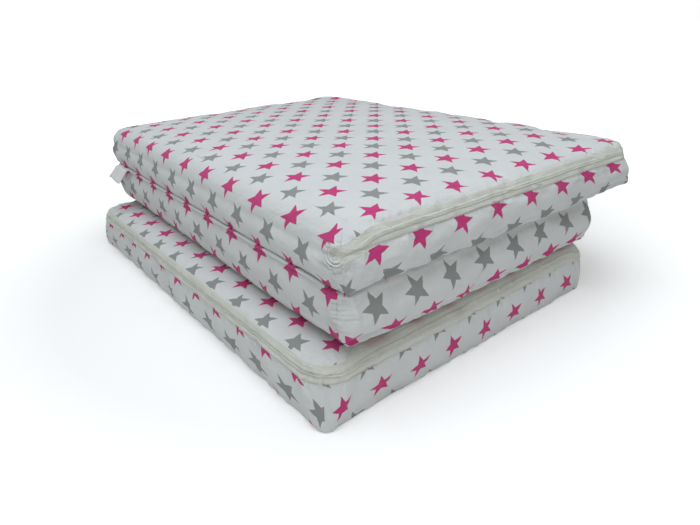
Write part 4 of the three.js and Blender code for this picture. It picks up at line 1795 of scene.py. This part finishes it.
@dataclass
class MiddlePanel(Panel):
    """The panel without a zip, between the two end panels."""

    corner_radii: Corners = (12.0, 18.0, 18.0, 10.0)
    front_skew: tuple[float, float] = (3.0, 15.0)
    corner_lift: float = 5.0
    rim_radii: Triple = (9.0, 5.0, 14.0)
    foot_radii: Triple = (12.0, 22.0, 5.0)
    foot_seam_tilt: float = -32.0
    side_bulge: float = 8.0

    def profile(self, rim_radius: float, foot_radius: float) -> list[Station]:
        """List the stations from the upper rim to the lower one.

        Args:
            rim_radius: How round the rim is on this side.
            foot_radius: How round the foot is.

        Returns:
            The stations.
        """
        centre = self.thickness - rim_radius
        edge = arc_stations(Band.UPPER_EDGE, rim_radius, centre, np.linspace(90, 75, 4)[:-1])
        rim = arc_stations(Band.WALL, rim_radius, centre, np.linspace(75, 0, 9)[:-1])
        wall = wall_stations(centre, foot_radius, 22)
        return edge + rim + wall + foot_stations(foot_radius, self.foot_seam_tilt)

    def sides(self, out: np.ndarray) -> tuple[Profiles, np.ndarray]:
        """Say which profile each column has, and how far it swells.

        Args:
            out: How far each column faces the panel's end, from -1 to 1.

        Returns:
            The profiles with their shares, and the columns' bulges.
        """
        left, right = np.where(out < 0, out ** 2, 0), np.where(out > 0, out ** 2, 0)
        shares = (1 - left - right, left, right)
        profiles = [(share, self.profile(rim, foot))
                    for share, rim, foot in zip(shares, self.rim_radii, self.foot_radii)]
        return profiles, self.side_bulge + (self.fold_bulge - self.side_bulge) * out ** 2

    def shape(self, skin: Skin) -> None:
        """Push the long side back, and lift the foot of the near corner.

        Args:
            skin: The skin to change.
        """
        right = np.clip(0.5 + skin.points[:, 0] / self.length, 0, 1)
        near = np.clip(0.5 - skin.points[:, 1] / self.width, 0, 1)
        back = self.front_skew[0] + (self.front_skew[1] - self.front_skew[0]) * right
        skin.points[:, 1] += back * near
        corner = np.array([-self.length / 2, -self.width / 2])
        apart = np.linalg.norm(skin.points[:, :2] - corner, axis=1)
        low = np.clip(1 - skin.points[:, 2] / 30.0, 0, 1)
        skin.points[:, 2] += self.corner_lift * low * np.exp(-(apart / 80.0) ** 2)

    def build(self, prints: dict[str, PrintPlace]) -> None:
        """Make the panel's pieces.

        Args:
            prints: Where the print lies on each cloth.
        """
        skin = self.covered()
        cloth = Cloth(skin, self.placement)
        bands, sides = np.array(skin.bands), np.array(skin.sides)
        wall = bands == Band.WALL
        upper = np.isin(bands, (Band.UPPER_FACE, Band.UPPER_EDGE))
        lower = np.isin(bands, (Band.LOWER_FACE, Band.LOWER_EDGE))
        sheets = {"upper_sheet": (upper | wall & (sides == Side.END), skin.from_upper),
                  "lower_sheet": (lower | wall & (sides == Side.FOLD), skin.from_lower)}
        for part, (wanted, plan) in sheets.items():
            places = prints[f"{self.name}_{part}"].at(*self.world_plan(plan))
            self.add_cover(cloth, part, wanted, places)
        for part, side in (("front_band", Side.FRONT), ("back_band", Side.BACK)):
            places = prints[f"{self.name}_{part}"].at(skin.down, skin.along)
            self.add_cover(cloth, part, wall & (sides == side), places)
        self.add_foam()


@dataclass
class FoldCloth:
    """The cloth across a fold: it comes out of the notch, turns at the hinge and goes back in."""

    name: str
    wall_x: float
    height: float
    inward: float
    bodies: tuple[str, str]
    finishes: Finishes
    depth: float
    half_width: float = 272.0
    reach: float = 1.5
    half_height: float = 1.1
    root: float = 0.13

    def build(self, place: PrintPlace) -> None:
        """Make the cloth.

        Args:
            place: Where the print lies on it.
        """
        along = np.linspace(-self.half_width, self.half_width, 96)
        across = np.linspace(-1, 1, 15)
        y, s = np.meshgrid(along, across, indexing="ij")
        out = (self.depth + self.reach) * (1 - np.abs(s) ** 1.6)
        x = self.wall_x + self.inward * (self.depth - out)
        swell = self.half_height * np.sin(math.pi * np.abs(s) ** 0.55) + self.root
        z = self.height + np.sign(s) * swell
        points = np.stack([x, y, z], axis=2).reshape(-1, 3)
        places = place.at(y.ravel(), s.ravel() * 12.0)
        faces = []
        rows = len(across)
        for i in range(len(along) - 1):
            for j in range(rows - 1):
                a = i * rows + j
                cell = (a, a + 1, a + rows + 1, a + rows)
                faces.append(cell if self.inward > 0 else cell[::-1])
        made = make_object(f"{self.name}_strip", points, faces, Matrix.Identity(4), places)
        carry(made.data, "pull", np.full_like(points, NO_SEAM))
        made.data.materials.append(self.finishes.cotton)
        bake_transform(made)
        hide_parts(self.name)
        LOG.info("%s: %d faces between %s and %s", made.name, len(faces), *self.bodies)


@dataclass
class Label:
    """The blank label that hangs out of the upper fold near the far end."""

    wall_x: float
    top: float
    finishes: Finishes
    far_y: float = 271.0
    width: float = 50.0
    length: float = 31.0

    def build(self) -> None:
        """Make the label."""
        across = np.linspace(0, 1, 17)
        down = np.linspace(0, 1, 25)
        u, v = np.meshgrid(across, down, indexing="ij")
        bend = np.clip((v - 0.28) / 0.16, 0, 1)
        tilt = np.radians(54.0 * bend * bend * (3 - 2 * bend) - 4.0 - 5.0 * u * v)
        step = self.length / (len(down) - 1)
        out = np.cumsum(np.cos(tilt) * step, axis=1) - step
        fall = np.cumsum(np.sin(tilt) * step, axis=1)
        y = self.far_y - self.width * (1 - u) + 0.6 * np.sin(v * 4 + u * 3)
        x = self.wall_x + 4.0 - out - 0.7 * np.sin(u * 5 + 0.6) * v
        z = self.top - fall - 0.7 * np.sin(u * math.pi * 2) * v
        front = np.stack([x, y, z], axis=2).reshape(-1, 3)
        behind = front + np.array([0.5, 0.0, 0.0])
        count, rows = len(front), len(down)
        faces = []
        for i in range(len(across) - 1):
            for j in range(rows - 1):
                a = i * rows + j
                cell = (a, a + rows, a + rows + 1, a + 1)
                faces += [cell[::-1], tuple(v + count for v in cell)]
        rim = ([i * rows for i in range(len(across))]
               + [(len(across) - 1) * rows + j for j in range(1, rows)]
               + [i * rows + rows - 1 for i in range(len(across) - 2, -1, -1)]
               + [j for j in range(rows - 2, 0, -1)])
        for first, second in zip(rim, rim[1:] + rim[:1]):
            faces.append((first, second, second + count, first + count))
        points = np.concatenate([front, behind])
        places = np.stack([points[:, 1], points[:, 2], points[:, 0]], axis=1)
        made = make_object("label_cloth", points, faces, Matrix.Identity(4), places)
        dress(made, self.finishes.label, "label_cloth", "middle_panel", "label")
        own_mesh(made)


@dataclass
class Studio:
    """The floor, the lights and the camera."""

    camera_place: Triple = (-0.3974, -0.6015, 0.3198)
    camera_turn: Triple = (65.375, 2.751, -36.981)
    lens: float = 28.67

    def build(self) -> None:
        """Set up the studio."""
        scene = bpy.context.scene
        scene.view_settings.view_transform = "Standard"
        self.add_world(scene)
        self.add_floor()
        self.add_lamp("top_softbox", (-0.25, -0.3, 1.5), (0.0, 0.0, 0.1), 1.5, 18.2,
                      (0.88, 0.94, 1.0))
        self.add_lamp("side_softbox", (-0.5, -0.95, 0.45), (-0.15, -0.3, 0.08), 0.6, 0.6,
                      (1.0, 0.99, 0.95))
        data = bpy.data.cameras.new("photo_camera")
        data.lens = self.lens
        data.sensor_width = 36.0
        data.clip_start = 0.01
        camera = bpy.data.objects.new("photo_camera", data)
        camera.location = self.camera_place
        camera.rotation_euler = [math.radians(a) for a in self.camera_turn]
        scene.collection.objects.link(camera)
        scene.camera = camera

    @staticmethod
    def add_world(scene: bpy.types.Scene) -> None:
        """Light evenly from all round, and show plain white behind the object."""
        world = bpy.data.worlds.new("studio_world")
        scene.world = world
        world.use_nodes = True
        tree = world.node_tree
        tree.nodes.clear()
        path = tree.nodes.new("ShaderNodeLightPath")
        seen = path.outputs["Is Camera Ray"]
        for kind in ("Is Glossy Ray", "Is Transmission Ray"):
            either = tree.nodes.new("ShaderNodeMath")
            either.operation = "MAXIMUM"
            tree.links.new(seen, either.inputs[0])
            tree.links.new(path.outputs[kind], either.inputs[1])
            seen = either.outputs[0]
        light = tree.nodes.new("ShaderNodeBackground")
        light.inputs["Color"].default_value = (1.0, 0.985, 0.90, 1)
        light.inputs["Strength"].default_value = 0.195
        white = tree.nodes.new("ShaderNodeBackground")
        white.inputs["Color"].default_value = (1, 1, 1, 1)
        white.inputs["Strength"].default_value = 1.0
        mixed = tree.nodes.new("ShaderNodeMixShader")
        output = tree.nodes.new("ShaderNodeOutputWorld")
        tree.links.new(seen, mixed.inputs[0])
        tree.links.new(light.outputs[0], mixed.inputs[1])
        tree.links.new(white.outputs[0], mixed.inputs[2])
        tree.links.new(mixed.outputs[0], output.inputs["Surface"])

    @staticmethod
    def add_floor() -> None:
        """Lay a pale floor that nearly vanishes into the white and keeps the shadow."""
        mesh = bpy.data.meshes.new("studio_floor")
        size = 6.0
        corners = [(-size, -size, 0), (size, -size, 0), (size, size, 0), (-size, size, 0)]
        mesh.from_pydata(corners, [], [(0, 1, 2, 3)])
        floor = bpy.data.objects.new("studio_floor", mesh)
        bpy.context.scene.collection.objects.link(floor)
        board = Board("studio_floor")
        path = board.node("ShaderNodeLightPath")
        place = board.node("ShaderNodeNewGeometry").outputs["Position"]
        length = board.node("ShaderNodeVectorMath", operation="LENGTH")
        board.feed(length.inputs[0], place)
        white = board.ramp(length.outputs["Value"], (0.35, 0.22), (0.9, 1.0))
        shader = board.node("ShaderNodeBsdfDiffuse")
        shader.inputs["Color"].default_value = (0.92, 0.92, 0.92, 1)
        glow = board.node("ShaderNodeEmission")
        glow.inputs["Color"].default_value = (1, 1, 1, 1)
        board.feed(glow.inputs["Strength"],
                   board.times(path.outputs["Is Camera Ray"], white))
        both = board.node("ShaderNodeAddShader")
        board.feed(both.inputs[0], shader.outputs[0])
        board.feed(both.inputs[1], glow.outputs[0])
        output = board.node("ShaderNodeOutputMaterial")
        board.feed(output.inputs["Surface"], both.outputs[0])
        mesh.materials.append(board.material)

    @staticmethod
    def add_lamp(name: str, place: Triple, target: Triple, size: float, power: float,
                 colour: Colour) -> None:
        """Add a square softbox.

        Args:
            name: The lamp's name.
            place: Where it stands.
            target: What it points at.
            size: The length of its side, in metres.
            power: Its power, in watts.
            colour: Its colour.
        """
        data = bpy.data.lights.new(name, "AREA")
        data.shape = "SQUARE"
        data.size = size
        data.energy = power
        data.color = colour
        lamp = bpy.data.objects.new(name, data)
        lamp.location = place
        direction = Vector(target) - Vector(place)
        lamp.rotation_euler = direction.to_track_quat("-Z", "Y").to_euler()
        bpy.context.scene.collection.objects.link(lamp)


@dataclass
class Mattress:
    """The whole stack, from the same sizes as its frame."""

    top_length: float = 410.0
    middle_length: float = 360.0
    bottom_length: float = 400.0
    thickness: float = 60.0
    gap: float = 0.3

    def build(self) -> None:
        """Make every piece in order."""
        finishes = Finishes()
        stack = self.top_length + self.bottom_length - self.middle_length
        left = self.bottom_length - self.middle_length - stack / 2
        right = left + self.middle_length
        level = self.thickness + self.gap
        prints = self.prints()
        half_turn = Matrix.Rotation(math.pi, 4, "Z")
        shift = Matrix.Translation(Vector(((right - self.bottom_length / 2) * MM, 0, 0)))
        bottom = EndPanel("bottom", self.bottom_length, shift @ half_turn, finishes,
                          end_skew=(13.0, 0.0), front_skew=15.0, side_bulge=3.5,
                          foot_radius=4.0, corner_radii=(18.0, 35.0, 35.0, 18.0), wide_tape=True,
                          strip=38.0, wrinkles=self.bottom_wrinkles())
        bottom.build(prints)
        centre = Vector(((left + self.middle_length / 2) * MM, 0, level * MM))
        middle = MiddlePanel("middle", self.middle_length, Matrix.Translation(centre), finishes,
                             wrinkles=self.middle_wrinkles())
        middle.build(prints)
        centre = Vector(((left + self.top_length / 2) * MM, 0, 2 * level * MM))
        top = EndPanel("top", self.top_length, Matrix.Translation(centre), finishes, crown=9.0,
                       foot_radius=6.0, level_from=145.0, wrinkles=self.top_wrinkles())
        top.build(prints)
        upper = FoldCloth("upper_fold_cloth", left, 2 * level - self.gap / 2, 1,
                          ("middle_panel", "top_panel"), finishes, depth=5.0)
        upper.build(prints["upper_fold_cloth"])
        lower = FoldCloth("lower_fold_cloth", right, level - self.gap / 2, -1,
                          ("bottom_panel", "middle_panel"), finishes, depth=14.0)
        lower.build(prints["lower_fold_cloth"])
        Label(left, 2 * level, finishes).build()
        for key in ("top", "bottom"):
            for part in ("slider", "pull"):
                metal = frame["nodes"][f"{key}_zip_{part}"]
                metal.data.materials.clear()
                metal.data.materials.append(finishes.metal)

    @staticmethod
    def top_wrinkles() -> Wrinkles:
        """Say how the top panel's cloth is gathered and where it sags."""
        folds: list[Ridge | Rosette] = []
        for sign in (-1, 1):
            folds.append(Rosette((-183.5, sign * 285.5, 151.0), (0.8, sign * 0.6, 0.0)))
            folds += [
                Ridge((-186, sign * 282, 140), (-188, sign * 268, 126), 1.1, 3.0),
                Ridge((-181, sign * 290, 138), (-184, sign * 287, 123), 1.3, 2.4),
                Ridge((-175, sign * 294, 138), (-172, sign * 297, 124), 1.0, 2.2),
                Ridge((-168, sign * 297, 142), (-154, sign * 299, 127), 0.9, 2.6),
                Ridge((-160, sign * 298, 146), (-134, sign * 299, 134), 0.7, 2.8),
                Ridge((-188, sign * 262, 150), (-189, sign * 244, 132), 0.7, 3.5),
            ]
        return Wrinkles(tuple(folds), sag=1.2, seed=11, droop=4.0)

    @staticmethod
    def middle_wrinkles() -> Wrinkles:
        """Say how the middle panel's cloth is gathered and where it sags."""
        folds: list[Ridge | Rosette] = []
        for sign in (-1, 1):
            for step, (height, length, drop, lift) in enumerate((
                    (115, 30, 6, 1.2), (108, 18, 5, -0.9), (101, 26, 3, 0.8), (94, 15, 1, -0.7),
                    (88, 24, -2, 0.9), (81, 17, -4, -0.8), (75, 30, -6, 1.1), (69, 20, -3, 0.9))):
                y = sign * (295 + 1.5 * math.sin(step))
                folds.append(Ridge((-181, y, height), (-181 + length, sign * 298, height - drop),
                                   lift, 2.1))
            for height, length, lift in ((116, 26, 1.0), (106, 15, -0.8), (84, 18, 0.9),
                                         (72, 28, 1.1)):
                end = (-188, sign * (290 - length), height - 4)
                folds.append(Ridge((-186, sign * 290, height), end, lift, 2.3))
        resting = (Band.UPPER_FACE, Band.UPPER_EDGE, Band.LOWER_FACE)
        return Wrinkles(tuple(folds), sag=1.1, seed=23, resting=resting)

    @staticmethod
    def bottom_wrinkles() -> Wrinkles:
        """Say how the bottom panel's cloth is gathered and where it sags."""
        folds: list[Ridge | Rosette] = [
            Ridge((-205, -290, 38), (-196, -296, 10), 0.9, 2.0),
            Ridge((-210, -284, 36), (-214, -272, 12), 0.8, 2.4),
            Ridge((-200, -293, 30), (-176, -297, 18), 0.8, 2.4),
            Ridge((-198, -294, 14), (-170, -297, 8), 0.7, 2.2),
            Ridge((-219, -262, 34), (-221, -236, 20), 0.8, 3.0),
        ]
        return Wrinkles(tuple(folds), sag=0.9, seed=37)

    @staticmethod
    def prints() -> dict[str, PrintPlace]:
        """Say where the print lies on each cloth.

        Returns:
            The print's place by node.
        """
        return {
            "top_outer_sheet": PrintPlace(-273.0, -183.5, 1.0, 0.99, -0.010),
            "top_inner_sheet": PrintPlace(-276.0, -185.0, 1.0, -1.0),
            "top_front_band": PrintPlace(35.5, 28.2, 1.0, -1.0, 0.0, 0.9),
            "top_end_band": PrintPlace(35.5, 14.0, 1.0, -1.0),
            "top_back_band": PrintPlace(35.5, 30.0, 1.0, -1.0),
            "middle_upper_sheet": PrintPlace(-276.0, -185.0),
            "middle_lower_sheet": PrintPlace(-280.5, -234.5, 0.983, -1.0),
            "middle_front_band": PrintPlace(58.0, 5.7, 0.9, 1.043),
            "middle_back_band": PrintPlace(58.0, 12.0, 0.95, 1.02),
            "bottom_inner_sheet": PrintPlace(-4.0, -190.6, 1.099, 1.0, 0.015),
            "bottom_outer_sheet": PrintPlace(-276.0, -190.0, 1.0, -1.0),
            "bottom_front_band": PrintPlace(54.0, 1033.7, 1.0, 1.004, -0.18, 1.0),
            "bottom_end_band": PrintPlace(27.0, 932.5, 1.0, 0.93),
            "bottom_back_band": PrintPlace(57.0, 10.0),
            "upper_fold_cloth": PrintPlace(-280.5, 0.0, 0.983),
            "lower_fold_cloth": PrintPlace(-276.0, 0.0),
        }


def main() -> None:
    """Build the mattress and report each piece."""
    logging.basicConfig(level=logging.INFO, format="%(message)s")
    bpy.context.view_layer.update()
    Mattress().build()
    Studio().build()


if __name__ == "__main__":
    main()
